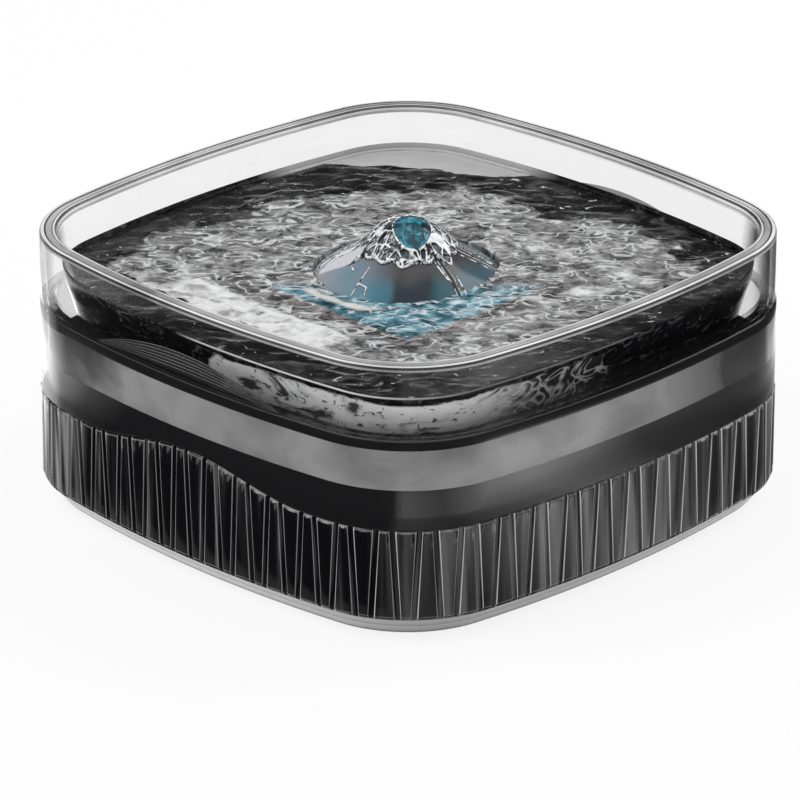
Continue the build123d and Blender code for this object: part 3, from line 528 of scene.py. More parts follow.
# %% tank rings
SLEEVE_TOP, THICK = 54.0, 2.0
FLOOR_UNDER, FLOOR_TOP = 17.0, 19.4
rings = [inner_ring(THICK, FLOOR_UNDER), inner_ring(THICK, SHOULDER), tank_ring(0, -1.0, SHOULDER),
         tank_ring(0, -0.25, SHOULDER + 0.55)]
edges = [0, 0, 0, 0.5]
fluted_from = len(rings) - 1
on_facet = (proud_at > -0.1).astype(float)
fluted = [(0.0, -0.62, 0), (0.012, np.minimum(proud_at, 0.0), 0.8 * on_facet)]
fluted += [(share, proud_at, 0) for share in (0.03, 0.2, 0.4, 0.6, 0.8, 0.972)]
fluted += [(0.982, np.minimum(proud_at, -0.02), 0.8 * on_facet),
           (0.995, np.minimum(proud_at, -0.25), 0.15 * on_facet), (1.0, -0.5, 0)]
for share, proud, edge in fluted:
    rings.append(tank_ring(share, proud))
    edges.append(edge)
fluted_to = len(rings) - 1
for share, proud, edge in ((0.0, -0.35, 0), (0.05, 0.0, 0.6), (0.35, 0.0, 0), (0.7, 0.0, 0), (1.0, 0.0, 0)):
    rings.append(tank_ring(1.0, proud, top_at + 0.3 + share * (SLEEVE_TOP - top_at - 0.3)))
    edges.append(edge)
band_to = len(rings) - 1
rings += [tank_ring(1.0, 0.0, height) for height in (SLEEVE_TOP + 0.3, 58.0, 62.0, 65.0, 67.8)]
smoky_to = len(rings) - 1
rings += [tank_ring(1.0, proud, height) for proud, height in
          ((0.0, 68.1), (0.0, SEAM - 0.5), (-0.1, SEAM - 0.1), (-0.4, SEAM))]
rings += [inner_ring(inset, height) for inset, height in
          ((1.7, SEAM), (THICK, SEAM - 0.3), (THICK, 60.0), (THICK, 45.0), (THICK, 30.0), (THICK, FLOOR_TOP))]
edges += [0] * (len(rings) - len(edges))
print(len(rings), "tank rings")

# %% tank mesh
def keep_value(piece, name, level):
    """Keep a number at every point of a mesh, for its finish to read."""
    piece.data.attributes.new(name, "FLOAT", "POINT").data.foreach_set("value", level)


points, faces = stitch(rings, loop=False, first=(0, 0, FLOOR_UNDER), last=(0, 0, FLOOR_TOP))
tank = make_piece("fluted_tank", points, faces, smoky_plastic)
SMOKY, FLUTED, DARK_BAND = 0, 1, 2
for finish in (flute_plastic, band_plastic):
    tank.data.materials.append(finish)
columns = len(foot_at)
# faces from the seam inward take the dark band finish; on the inner wall it is painted shade
for polygon in tank.data.polygons:
    lowest = min(polygon.vertices) // columns
    if len(polygon.vertices) != 4 or lowest >= smoky_to:
        polygon.material_index = DARK_BAND
    elif lowest < band_to:
        polygon.material_index = SMOKY if lowest < 1 else (FLUTED if lowest < fluted_to else DARK_BAND)
level = np.zeros(len(tank.data.vertices))
for row, edge in enumerate(edges):
    inside = fluted_from < row <= fluted_to - 1
    level[row * columns:(row + 1) * columns] = np.maximum(0.7 * edge, edge_highlight_at if inside else 0)
keep_value(tank, "edge_highlight", level)
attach(tank, "tank")
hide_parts("tank_shell")

# %% [markdown]
# ## The dark bowl's finish
# Below the water line the bowl is dark. Seen through the clear wall it is not plain black: the
# moving water shows as grey streaks, and round the front corner as a pale churned patch. Both are
# drawn into the colour with stretched noise, placed by height and by side, which costs nothing to
# render, but unlike real foam they lie on the bowl itself. A thin line, pale or dark, is where a noise
# crosses its middle value, so one small helper turns any noise into fine curling lines.

# %% bowl helpers
def curls(value, width):
    """1 on the thin lines where a noise crosses its middle, 0 away from them."""
    return fall(abs(value - 0.5), 0.0, width)


def dress(finish, *names):
    """Give CAD pieces a finish."""
    for name in names:
        nodes[name].material_slots[0].material = finish


# %% bowl finish
bowl_plastic = new_material("dark bowl", (0.01, 0.011), 0.14, IOR=1.46, Specular_IOR_Level=0.1)
across, toward, height = plan_place(bowl_plastic)
streaks = grain(bowl_plastic, 140, 5.0, (1, 1, 2.2), 1.6)
stone = ramp(streaks, (0.46, (0.004, 0.005)), (0.58, (0.016, 0.017)), (0.7, (0.1, 0.098, 0.102)))
churn = grain(bowl_plastic, 62, 5.0, (1, 1, 1.7), 1.2)
ragged = (churn - 0.5) * 0.04
along = across + ragged
foam = ramp(churn, (0.35, (0.06, 0.062)), (0.4, (0.46, 0.465)), (0.46, (0.74, 0.75)), (0.66, (0.88, 0.89)))
specks = remap(grain(bowl_plastic, 260, 3.0, (1, 1, 1.6), 1.0), 0.0, 0.9, 0.6, 0.66)
foam = blend(specks, foam, 0.02)
swirl = blend(curls(grain(bowl_plastic, 85, 1.0, (1, 1, 1.3), 1.6), 0.07), (0.02, 0.021), (0.5, 0.505))
foam = blend(rise(along, 0.035, 0.06), foam, swirl)
patch = rise(toward + ragged, 0.100, 0.104) * fall(height + ragged * 0.12, 0.0799, 0.0806)
bowl_tone = blend(patch * fall(along, 0.095, 0.11), stone, foam)

WATER_LINE = 0.08255
# painted highlight: a pale line along the water line at the front, brightest on the left
line = fall(abs(height - WATER_LINE), 0.0002, 0.0005) * rise(toward, 0.086, 0.096)
bowl_tone = blend(line * remap(across, 1.0, 0.2, -0.03, 0.03), bowl_tone, 0.85)
# painted reflection: above the water the far side turns a lighter grey
far_side_reflection = fall(toward, -0.132, -0.118) * rise(height, 0.0808, 0.0812)
wear(bowl_plastic, Base_Color=blend(far_side_reflection, bowl_tone, (0.52, 0.525)))
relief(bowl_plastic, streaks, 0.15, 0.0003)
dress(bowl_plastic, "bowl_liner")
dress(dark_plastic, "tank_sleeve")
dress(ring_plastic, "seam_ring")
print("bowl finish made")

# %% [markdown]
# ## The clear tray
# The tray is one clear moulding, dark only where its bowl holds the water: an outer skirt, a rim six
# millimetres wide, and a bowl that hangs inside the skirt with its square filter well. Its section is
# drawn as a list of rings, from the foot of the skirt up over the rim, down into the bowl and back.
# The finger scoop in the foot of the front and the back is part of the same mesh: the rows there fan
# out under its arch, so its fine steps are real edges that run together at both ends.

# %% tray section
RIM = 96.4
tray_grid = outline_angles((28, 112), 36)
wall_line = outline_ring(tray_grid, 0, 0)
on_scoop_side = np.abs(wall_line[:, 1]) > np.abs(wall_line[:, 0])
scoop_half, scoop_bite, scoop_rise = 44.5, 0.9, 9.4
scoop_depth = scoop_half ** 2 / (2 * SIDE) + scoop_bite
scoop_ball = scoop_half ** 2 / (2 * scoop_bite)
scoop_sink = (2 * scoop_ball * scoop_depth / scoop_rise - scoop_rise) / 2
scoop_out = sqrt(scoop_ball ** 2 - scoop_sink ** 2) - scoop_depth
ball_y, ball_z = HALF + scoop_out, SEAM - scoop_sink


def scoop_cut(z):
    """How far the scoop's ball reaches inside the wall at this height, for each point of the ring."""
    room = scoop_ball ** 2 - wall_line[:, 0] ** 2 - (z - ball_z) ** 2
    cut = np.abs(wall_line[:, 1]) - (ball_y - np.sqrt(np.maximum(room, 0)))
    return np.where(on_scoop_side & (np.abs(wall_line[:, 0]) < scoop_half + 8), np.maximum(cut, 0), 0)


room = scoop_ball ** 2 - wall_line[:, 0] ** 2 - (ball_y - np.abs(wall_line[:, 1])) ** 2
arch = ball_z + np.sqrt(np.maximum(room, 0)) - SEAM
arch = np.maximum(np.where(on_scoop_side & (np.abs(wall_line[:, 0]) < scoop_half), arch, 0), 0)
print("scoop rise", round(float(arch.max()), 2), "mm")


def skirt_foot_ring(share, step):
    """A ring under the scoop's arch; outside the arch these rings lie close together at the foot."""
    z = SEAM + 0.15 + share * (arch + 0.3)
    ring = outline_ring(tray_grid, 0, z)
    ring[:, 1] -= np.sign(ring[:, 1]) * (scoop_cut(z) + step * np.minimum(arch / 3.0, 1))
    return ring


# %% tray rings
STEPS, GROOVED = 6, 0.2


def outline_rings(places):
    return [outline_ring(tray_grid, inset, height) for inset, height in places]


def square_rings(shrink, heights):
    return [square_ring(tray_grid, WEIR_HALF - shrink, WEIR_CORNER - shrink, height) for height in heights]


tray_rings = [outline_ring(tray_grid, 0.25, SEAM)]
tray_rings[0][:, 1] -= np.sign(tray_rings[0][:, 1]) * scoop_cut(SEAM)
foot_from = len(tray_rings)
for i in range(STEPS):
    tray_rings.append(skirt_foot_ring(i / STEPS, 0.0))
    tray_rings.append(skirt_foot_ring((i + 0.82) / STEPS, 0.0))
    tray_rings.append(skirt_foot_ring((i + 0.9) / STEPS, GROOVED))
foot_to = len(tray_rings)
tray_rings.append(skirt_foot_ring(1.0, 0.0))
for share in (0.12, 0.3, 0.5, 0.7, 0.9):
    tray_rings.append(outline_ring(tray_grid, 0, (1 - share) * (SEAM + 0.5 + arch) + share * (RIM - 1.6)))
# the rim as (inset, drop, finish of the band that starts there, a painted band of light or shade)
rim_section = [
    (0.0, -1.6, RIM_GREY), (0.0, -0.85, RIM_DARK), (0.14, -0.4, RIM_DARK), (0.45, -0.1, RIM_LIGHT),
    (1.5, 0.0, RIM_DARK), (1.8, -0.12, RIM_DARK), (2.15, -0.12, RIM_GREY), (2.4, 0.0, RIM_GREY),
    (4.1, 0.0, RIM_DARK), (4.35, -0.08, RIM_GREY), (4.6, 0.0, RIM_LIGHT), (5.1, -0.04, RIM_DARK),
    (5.6, -0.25, RIM_DARK), (5.95, -0.65, RIM_LIGHT), (6.15, -1.4, RIM_GREY), (6.25, -2.0, RIM_GREY),
    (6.3, -2.3, None)]
rim_from = len(tray_rings)
tray_rings += outline_rings([(inset, RIM + drop) for inset, drop, _ in rim_section])
tray_rings += outline_rings([(6.45, 92.5), (7.2, 88.5), (8.0, 84.5), (8.6, 81.5), (9.9, 77.5), (11.4, 73.0),
                             (13.8, 66.5), (20.0, 62.2)])
WEIR_HALF, WEIR_CORNER, WEIR_THICK, DECK_UNDER = 37.2, 9.2, 1.8, 75.8
WELL_TOP, WELL_UNDER, HOLE = 54.0, 52.5, 7.5
tray_rings += square_rings(0, (62.2, 68.0, DECK_UNDER)) + square_rings(WEIR_THICK, (DECK_UNDER, 64.0, WELL_TOP))
tray_rings += [round_ring(tray_grid, HOLE, WELL_TOP), round_ring(tray_grid, HOLE, WELL_UNDER)]
tray_rings += square_rings(0, (WELL_UNDER, 56.0, 60.2))
dark_from = len(tray_rings)
tray_rings += outline_rings([(17.6, 60.2), (14.2, 62.6), (12.0, 66.5), (10.7, 71.0), (9.4, 75.5), (8.2, 79.5),
                             (7.7, 82.1), (7.55, 83.0), (7.3, 85.4), (7.0, 90.0), (6.6, 93.6)])
dark_to = dark_from + 7
SKIRT_THICK, SCOOP_THICK, SKIRT_FOOT = 2.0, 1.8, 73.4
for height in (94.0, 90.0, 86.0, 83.0, 81.0, 79.0, 77.0, 75.0, SKIRT_FOOT):
    ring = outline_ring(tray_grid, SKIRT_THICK, height)
    ring[:, 1] -= np.sign(ring[:, 1]) * np.maximum(scoop_cut(height) + SCOOP_THICK - SKIRT_THICK, 0)
    tray_rings.append(ring)
tray_rings += outline_rings([(5.0, SKIRT_FOOT), (5.0, SEAM)])
print(len(tray_rings), "tray rings")

# %% tray mesh
points, faces = stitch(tray_rings)
tray = make_piece("clear_tray", points, faces, clear_wall)
DARK_BOWL, STEPPED, FIRST_RIM = 1, 2, 3
for finish in (bowl_plastic, step_plastic, *painted_rim_bands):
    tray.data.materials.append(finish)
around = len(tray_rings[0])
for polygon in tray.data.polygons:
    ring, column = divmod(min(polygon.vertices), around)
    band = ring - rim_from
    if dark_from <= ring < dark_to:
        polygon.material_index = DARK_BOWL
    elif foot_from <= ring < foot_to and arch[column] > 0.25:
        polygon.material_index = STEPPED
    elif 0 <= band < len(rim_section) - 1:
        polygon.material_index = FIRST_RIM + rim_section[band][2]
# each step's rows get levels that pick its grey, painted shade and painted highlight lines
lines = np.zeros(len(tray.data.vertices))
for row in range(foot_from, foot_to):
    lines[row * around:(row + 1) * around] = (0.45, 0.7, 1.0)[(row - foot_from) % 3]
keep_value(tray, "step_highlight_and_shade", lines)
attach(tray, "tray")
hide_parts("tray_shell")

# %% [markdown]
# ## The water in the bowl
# The pump keeps the whole surface moving: short crossing ripples in the middle, calmer water by the
# walls. The surface is a fine sheet from the wall to the foot of the dome, with its height made from
# layers of noise, because only real relief breaks up the reflections at a low angle. Fluid
# simulation could make it too, but takes minutes for a shape that nothing here depends on.

# %% ripples
WATER = 81.0
# turns X + Y and X - Y into lengths along the diagonals of the plan
DIAGONAL = 0.7071
water_grid = outline_angles((56,), 76)


def ripple(x, y):
    """Height of the moving surface above its rest level, in millimetres."""
    u, v = (x + y) * DIAGONAL, (x - y) * DIAGONAL
    broad = noise.noise((u / 17.0, v / 9.5, 3.1))
    short = noise.noise((u / 9.5 + broad, v / 4.6, 7.7))
    fine = noise.noise((u / 4.6, v / 2.4 + short, 1.9))
    return 0.45 * broad + 0.7 * short + 0.34 * fine


def round_noise(degrees, size, pattern):
    """Noise along a circle, one value for each bearing; a larger circle gives more waves."""
    turns = [radians(a) for a in degrees]
    return np.array([noise.noise((cos(a) * size, sin(a) * size, pattern)) for a in turns])


# %% [markdown]
# The water also climbs a little on the dome's foot, so the dome's own profile is measured first: rays
# sent straight down on the CAD mesh give its height at a row of radii.

# %% dome profile
dome_mesh = nodes["dome_shell"].data
dome_faces = [tuple(p.vertices) for p in dome_mesh.polygons]
dome_tree = BVHTree.FromPolygons([v.co for v in dome_mesh.vertices], dome_faces)
CAP_EDGE, DOME_EDGE, ABOVE, DOWN = 10.8, 31.8, 0.12, Vector((0, 0, -1))
profile_r = np.linspace(CAP_EDGE, DOME_EDGE, 60)
hits = [dome_tree.ray_cast(Vector((r * MM, 0, ABOVE)), DOWN)[0] for r in profile_r]
profile_z = np.array([hit.z / MM for hit in hits])
print("dome from", round(profile_z[-1], 2), "to", round(profile_z[0], 2), "mm")

# %% water sheet
ROWS, SHORE_INSET, DOME_FOOT, SHEET_UNDER = 104, 10.05, 32.35, WATER - 2.2
shore = outline_ring(water_grid, SHORE_INSET, 0)
base_line = round_ring(water_grid, DOME_FOOT, 0)
foot_turn = np.degrees(bearing_of(base_line))
climb = np.interp(foot_turn, [-180, -75, -45, -20, 20, 42, 60, 180], [0, 0, 2.4, 4.2, 4.6, 3.2, 0, 0])
climb *= 0.75 + 0.5 * round_noise(foot_turn, 5, 2.0)
foot_line = base_line * ((DOME_FOOT - np.maximum(climb, 0)) / DOME_FOOT)[:, None]


def on_dome(ring, lift):
    """Height of the dome's skin under each point, raised a little."""
    return np.interp(np.hypot(ring[:, 0], ring[:, 1]), profile_r, profile_z, right=SHEET_UNDER) + lift


water_rings = []
for row in range(ROWS + 1):
    share = row / ROWS
    ring = shore * (1 - share) + foot_line * share
    from_wall = np.hypot(ring[:, 0] - shore[:, 0], ring[:, 1] - shore[:, 1])
    for i, (x, y, _) in enumerate(ring):
        calm = min(1.0, 0.3 + from_wall[i] / 22.0)
        ring[i, 2] = WATER + ripple(x, y) * calm
    ring[:, 2] = np.maximum(ring[:, 2], on_dome(ring, 0.35 * (1 - share) + 0.12))
    water_rings.append(ring)
for share in (0.0, 0.35, 0.7, 0.97):
    ring = foot_line * (1 - share) + base_line * share
    ring[:, 2] = np.where(climb > 0.3, on_dome(ring, 0.05), WATER - 0.8 - share)
    water_rings.append(ring)
water_rings += [level_ring(line[:, 0], line[:, 1], SHEET_UNDER) for line in (base_line, shore)]
points, faces = stitch(water_rings)
water = new_material("bowl water", 0.02, 0.05, IOR=1.33, Specular_IOR_Level=0.5)
bowl_water = make_piece("bowl_water", points, faces, water, sharp=60)
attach(bowl_water, "tray")

# %% [markdown]
# The water's look changes from place to place: still by the walls and painted dark there as shade,
# grey and full of air in the middle, white where it churns, teal over the lit deck, where the deck's
# light is painted on as a glow, and grey near the far corner as a painted reflection. Each of these is a
# number kept at every point of the mesh. The shader then frays its border with noise, which gives a
# natural edge without any image texture. On the ripples, highlights, glints and shade lines are
# painted too.

# %% water zones
px, py = points[:, 0], points[:, 1]
pu, pv = (px + py) * DIAGONAL, (px - py) * DIAGONAL
turn, reach = np.degrees(bearing_of(points)), np.hypot(px, py)


def step_up(value, width):
    """0 below 0, 1 above the width, straight between them."""
    return np.clip(value / width, 0, 1)


zone_bearing = [-180, -135, -90, -45, 0, 45, 90, 135, 180]
zone_reach = [73, 100, 96, 128, 86, 99, 72, 72, 73]
zone_border = np.interp(turn, zone_bearing, zone_reach, period=360) + 5 * round_noise(turn, 2.6, 9.0)
airy_level = np.clip(0.5 + (zone_border - reach) / 14.0, 0, 1)
shore_turn, shore_reach = np.degrees(bearing_of(shore)), np.hypot(shore[:, 0], shore[:, 1])
order = np.argsort(shore_turn)


def to_shore(x, y):
    """How far a point is inside the shore line, in millimetres."""
    bearing = np.degrees(np.arctan2(y, x))
    return np.interp(bearing, shore_turn[order], shore_reach[order], period=360) - np.hypot(x, y)


# painted shade: the front margin stays dark, as deep as the wall in front of it stands high
MARGIN_SHIFT = 23.5
front_margin = to_shore(px + MARGIN_SHIFT, py - MARGIN_SHIFT)
airy_level = np.minimum(airy_level, np.clip(0.5 + (front_margin + 3) / 5.0, 0, 1))


def blob(u, v, wide, deep, level):
    return level * np.exp(-((pu - u) / wide) ** 2 - ((pv - v) / deep) ** 2)


border = np.maximum(np.abs(px), np.abs(py))
foam_level = step_up(-py - 55.5, 3.0) * step_up(36 - px, 12) * step_up(px + 62, 25)
foam_level = foam_level + blob(61, 19, 14, 8, 0.62) + blob(33, -20, 26, 6, 0.35)
foam_level += 0.6 * np.exp(-((py - 47) / 3.5) ** 2 - ((px - 48) / 34) ** 2)
far_bearing = np.abs((turn - 130 + 180) % 360 - 180)
mirror_level = step_up(19.0 * (1 - (far_bearing / 22) ** 2) - to_shore(px, py), 2.0) * (far_bearing < 22)
arc_level = np.exp(-((reach - 38.4) / 1.8) ** 4) * step_up(27 - np.abs(turn + 83.5), 5)
levels = {"airy": airy_level, "foam": foam_level, "mirror": mirror_level, "arc": arc_level,
          "lit": np.clip(0.5 + (44.5 - border) / 2.5, 0, 1), "front": np.clip(0.5 + (pv - 16) / 7, 0, 1),
          "web": np.exp(-((border - 48.5) / 3.2) ** 2) * step_up(pv - 5, 8)}
for name, level in levels.items():
    keep_value(bowl_water, name, level)
print("water zones:", *levels)

# %% water patterns
def diagonal_grain(owner, scale, detail, wide, deep, distortion=0.0, shift=0.0):
    """Noise drawn out along the diagonal of the plan; a shift gives another pattern of the same kind."""
    across, toward, height = plan_place(owner)
    place = add_node(owner, "ShaderNodeCombineXYZ")
    feed(place.inputs["X"], across * (DIAGONAL * wide))
    feed(place.inputs["Y"], toward * (DIAGONAL * deep))
    feed(place.inputs["Z"], height + shift)
    return noise_at(owner, place.outputs["Vector"], scale, detail, distortion)


def zone(name, wander, spread=0.2):
    """A mesh value with its border frayed by a noise."""
    return rise(mesh_value(water, name) + wander, 0.5 - spread, 0.5 + spread)


wander = (diagonal_grain(water, 85, 4.0, 0.8, 1.1, 0.8) - 0.5) * 2.2
soft = diagonal_grain(water, 215, 2.5, 0.8, 1.0, 0.6)
wavelets = diagonal_grain(water, 240, 1.5, 0.8, 1.0, 1.2, 0.15)
# painted shade lines and painted highlight lines follow the ripples, and painted glints fleck them
shade_lines = curls(diagonal_grain(water, 125, 1.0, 0.75, 1.2, 0.9, 0.3), 0.055)
shade_lines *= rise(diagonal_grain(water, 130, 2.0, 0.8, 1.0, 0.0, 0.5), 0.47, 0.51)
highlight_lines = curls(diagonal_grain(water, 130, 1.0, 0.75, 1.2, 1.1, 0.7), 0.055)
highlight_lines *= rise(diagonal_grain(water, 110, 2.0, 0.8, 1.0, 0.0, 0.9), 0.44, 0.48)
glints = remap(diagonal_grain(water, 420, 2.0, 0.6, 1.0, 1.0, 1.1), 0.0, 0.8, 0.68, 0.74)
still = diagonal_grain(water, 120, 4.0, 0.7, 1.1, 1.2, 0.2)
foamy, airy = zone("foam", wander * 0.5), zone("airy", wander, 0.12)
print("water patterns set")

# %% water colour
# the grey and white ripple tones are partly the water's own air and foam, partly painted reflection
grey = ramp(soft, (0.36, 0.07), (0.43, 0.16), (0.5, (0.205, 0.204)), (0.57, (0.25, 0.248)), (0.63, 0.42))
white = ramp(soft, (0.33, 0.34), (0.4, 0.5), (0.48, 0.64), (0.6, 0.75))
brown = ramp(soft, (0.36, (0.045, 0.042, 0.04)), (0.5, (0.13, 0.125, 0.12)), (0.66, (0.3, 0.29, 0.285)))
teal = ramp(soft, (0.35, (0.012, 0.05, 0.07)), (0.44, (0.04, 0.13, 0.17)), (0.54, (0.1, 0.24, 0.3)),
            (0.66, (0.34, 0.5, 0.56)))
dark = ramp(still, (0.42, (0.007, 0.008)), (0.56, (0.026, 0.027)), (0.7, (0.085, 0.087)))
colour = blend(foamy, grey, white)
colour = blend(zone("web", wander * 0.4), colour, brown)
# painted light: the lit deck's teal glow on the water in front of the dome
colour = blend(zone("lit", wander * 0.4) * mesh_value(water, "front"), colour, teal)
colour = blend(shade_lines * remap(foamy, 0.85, 0.25, 0.0, 1.0), colour, (0.012, 0.014, 0.016))
colour = blend(highlight_lines * 0.75, colour, (0.8, 0.82, 0.83))
# painted shade: away from the airy middle the water takes the dark tone
colour = blend(airy, dark, colour)
colour = blend(glints, colour, 0.85)
colour = blend(zone("mirror", wander * 0.5, 0.05), colour, (0.46, 0.465))
colour = blend(mesh_value(water, "arc") * 0.9, colour, (0.68, 0.65, 0.62))
wear(water, Base_Color=colour)
relief(water, (soft + wavelets) * remap(airy, 0.2, 1.0, 0.0, 1.0), 0.6, 0.0009)
print("water coloured")

# %% [markdown]
# ## The dome
# The dome is a smooth spun shape, so the CAD surface is already right. Its colour carries painted light
# and shade: the glow of the lights in the well is painted teal on its foot, one flank is painted pale
# and the side between them deep grey. This painted light and shade runs across the dome in one ramp,
# and a second one by height paints its shoulder darker.

# %% dome finish
dome_plastic = new_material("blue grey dome", (0.14, 0.2, 0.25), 0.12, skin=(120, 3.0, 0.03, 0.0002), IOR=1.5,
                            Specular_IOR_Level=0.25)
across, _, height = plan_place(dome_plastic)
drift = (grain(dome_plastic, 60, 3.0) - 0.5) * 0.012
by_side = rise(across + drift, -0.045, 0.045)
# painted light and shade: a pale flank, a teal glow toward the foot, deep grey between, a darker shoulder
lit_and_shaded_flank = ramp(by_side, (0.0, (0.34, 0.39)), (0.1, (0.24, 0.3, 0.35)), (0.22, (0.13, 0.23, 0.28)),
             (0.34, (0.05, 0.17, 0.23)), (0.41, (0.045, 0.14, 0.19)), (0.44, (0.012, 0.024, 0.034)),
             (0.6, (0.012, 0.024, 0.034)), (0.66, (0.03, 0.1, 0.13)), (0.78, (0.07, 0.12, 0.15)),
             (1.0, (0.06, 0.12, 0.15)))
shaded_shoulder = ramp(by_side, (0.1, (0.4, 0.45)), (0.34, (0.12, 0.14, 0.17)), (0.46, (0.06, 0.058, 0.062)),
                (0.75, (0.07, 0.068, 0.072)))
wear(dome_plastic, Base_Color=blend(rise(height + drift, 0.0835, 0.0875), lit_and_shaded_flank, shaded_shoulder))

blue_plastic = new_material("blue cap", (0.012, 0.13, 0.2), 0.1, IOR=1.5)
facets = add_node(blue_plastic, "ShaderNodeTexVoronoi", Scale=420)
join(object_place(blue_plastic), facets.inputs["Vector"])
split = add_node(blue_plastic, "ShaderNodeSeparateColor")
join(facets.outputs["Color"], split.inputs["Color"])
facet_tone = ramp(Value(split.outputs["Red"]), (0.15, (0.004, 0.05, 0.075)),
                  (0.5, (0.01, 0.12, 0.17)), (0.85, (0.04, 0.26, 0.36)))
wear(blue_plastic, Base_Color=facet_tone)
dress(dome_plastic, "dome_shell")
dress(blue_plastic, "nozzle_cap", "flow_spreader")
print("dome finish made")

# %% [markdown]
# ## The water over the dome
# Water wells up round the cap, stands over it in a small mound and breaks into a web of ridges
# that drains down the dome. The web is a height field on the dome: each point gets the distance to
# the nearest border between random cells, and near a border the film is thick. Where the water runs
# off in threads, strokes add ridges of their own. Outside the web the film dips under the dome's
# skin, so its edge is a clean wavy line with no sheet of flat faces.

# %% film helpers
rng = np.random.default_rng(11)
seeds = rng.uniform(-34, 34, (360, 2))
small_seeds = rng.uniform(-24, 24, (300, 2))
film_columns, film_rows = 600, 168
bearing = np.linspace(0, 2 * pi, film_columns, endpoint=False)


def lobe(centre, half_width):
    """1 along a bearing, falling to 0 this many degrees either side of it."""
    gap = np.abs((bearing - radians(centre) + pi) % (2 * pi) - pi)
    return np.clip(1 - gap / radians(half_width), 0, 1)


def tube_profile(gap):
    """Height of a half round ridge, 1 at its middle and 0 beyond its edge."""
    return np.sqrt(np.clip(1 - gap ** 2, 0, 1))


def cell_border(x, y, centres, width):
    """Half round ridges along the borders between random cells."""
    distance = np.sqrt((x[:, None] - centres[:, 0]) ** 2 + (y[:, None] - centres[:, 1]) ** 2)
    distance.partition(1, axis=1)
    return tube_profile((distance[:, 1] - distance[:, 0]) / (2 * width))


def stroke(u, v, start, end, width):
    """A ridge along a short line, both ends given as across and toward, in millimetres."""
    du, dv = end[0] - start[0], end[1] - start[1]
    share = np.clip(((u - start[0]) * du + (v - start[1]) * dv) / (du * du + dv * dv), 0, 1)
    return tube_profile(np.hypot(u - start[0] - share * du, v - start[1] - share * dv) / width)


def thickest(u, v, lines):
    """The highest of several ridges at each point."""
    return np.max([stroke(u, v, *line) for line in lines], axis=0)


# each line's two ends and its width
strokes = [
    ((-13, 14.5), (-19.2, 23.6), 0.3), ((-17, 19.5), (-14, 22.5), 0.3), ((-14, 22.5), (-14.6, 25), 0.4),
    ((-19, 10), (-18.4, 13), 0.45), ((-17, 6.5), (-16.4, 7.5), 0.6), ((11, 13), (15, 19), 1.6),
    ((15, 19), (17.5, 24.5), 1.3), ((16.5, 17), (19.5, 22.5), 0.45), ((9, 14), (13.5, 19.5), 0.5),
    ((17, 1), (32.5, -0.5), 1.7), ((17, -3), (31.5, -4), 0.9), ((20, 0), (25, -3), 0.6),
    ((24, 1), (29, -3), 0.6), ((29, 2.5), (32.3, 4), 0.5), ((18, 4.5), (27, 3.6), 0.45),
    ((-32, -1), (-26.4, -3.5), 0.9), ((-26.4, -3.5), (-18, -4), 0.9), ((-18, -4), (-13, -6), 0.8),
    ((-31, 2), (-24, 0), 0.45), ((-24, 0), (-16, 0.5), 0.45), ((-31.7, 4.5), (-28, 14), 0.4),
    ((-22, -7), (-15, -9), 0.6), ((-29, -7), (-22, -7), 0.5)]
thick = [line for line in strokes if line[2] >= 0.9 and line[0][0] > 0]
skin_r = [0, 4, 7, 9.5, 11.5, 13.5, 15.5, 17.5, 19.0]
skin_z = [99.0, 98.7, 97.9, 96.5, 94.7, 92.6, 90.6, 88.8, 87.0]
print(len(strokes), "strokes,", len(thick), "of them thick")

# %% film mesh
FILM_FOOT, SMOOTH_BEARING, CAP_SKIN, DOME_UNDER = 32.3, 232, 92.8, 92.0
film_edge = 17.2 + 2.6 * round_noise(np.degrees(bearing), 3.4, 4.0)
film_edge = film_edge + 13.5 * np.sqrt(lobe(SMOOTH_BEARING, 22)) + 2.5 * lobe(5, 10)
top_rings, wet, pale, capped, core = [], [], [], [], []
for row in range(film_rows + 1):
    r = FILM_FOOT * (row / film_rows) ** 0.85 + 0.02
    x, y = r * np.cos(bearing), r * np.sin(bearing)
    u, v = (x + y) * DIAGONAL, (x - y) * DIAGONAL
    small = cell_border(x, y, small_seeds, 0.2) * 0.8
    web = np.maximum(cell_border(x, y, seeds, 0.34), small * step_up(19 - r, 2))
    smooth_side = np.clip(lobe(SMOOTH_BEARING, 26) * 2.0, 0, 1) * step_up(r - 13, 4)
    inside = step_up(film_edge - r, 0.35)
    over_cap = np.hypot((u - 1.4) / 6.6, (v - 4.6) / 8.6)
    web = np.where(over_cap < 1, 0.35 * small, web) * inside * (1 - smooth_side)
    web = np.maximum(web, tube_profile((over_cap - 1.0) * 7.5 / 0.42))
    web = np.maximum(web, tube_profile((film_edge - r - 0.4) / 0.38) * (1 - smooth_side))
    web = np.maximum(web, thickest(u, v, strokes))
    cover = smooth_side * inside
    dome_skin = np.interp(r, profile_r, profile_z) if r > CAP_EDGE else CAP_SKIN
    skin = max(np.interp(r, skin_r, skin_z, right=0.0), dome_skin + 0.25)
    z = np.where(inside > 0.5, skin - 0.3, dome_skin - 0.3) + 0.6 * web
    z = np.where(cover > 0.5, np.maximum(z, dome_skin + 0.35), z)
    top_rings.append(level_ring(x, y, z))
    wet.append(np.clip(web, 0, 1))
    pale.append(np.clip(cover * 1.2 - web, 0, 1))
    capped.append(np.clip((1.02 - over_cap) * 20, 0, 1))
    core.append(thickest(u, v, thick))
bottom_rings = []
for r in (FILM_FOOT, 26.0, 20.0, 15.0, 11.5):
    height = np.interp(r, profile_r, profile_z) - 0.9
    bottom_rings.append(level_ring(r * np.cos(bearing), r * np.sin(bearing), height))
points, faces = stitch(top_rings + bottom_rings, loop=False, first=(0, 0, top_rings[0][0, 2]),
                       last=(0, 0, DOME_UNDER))
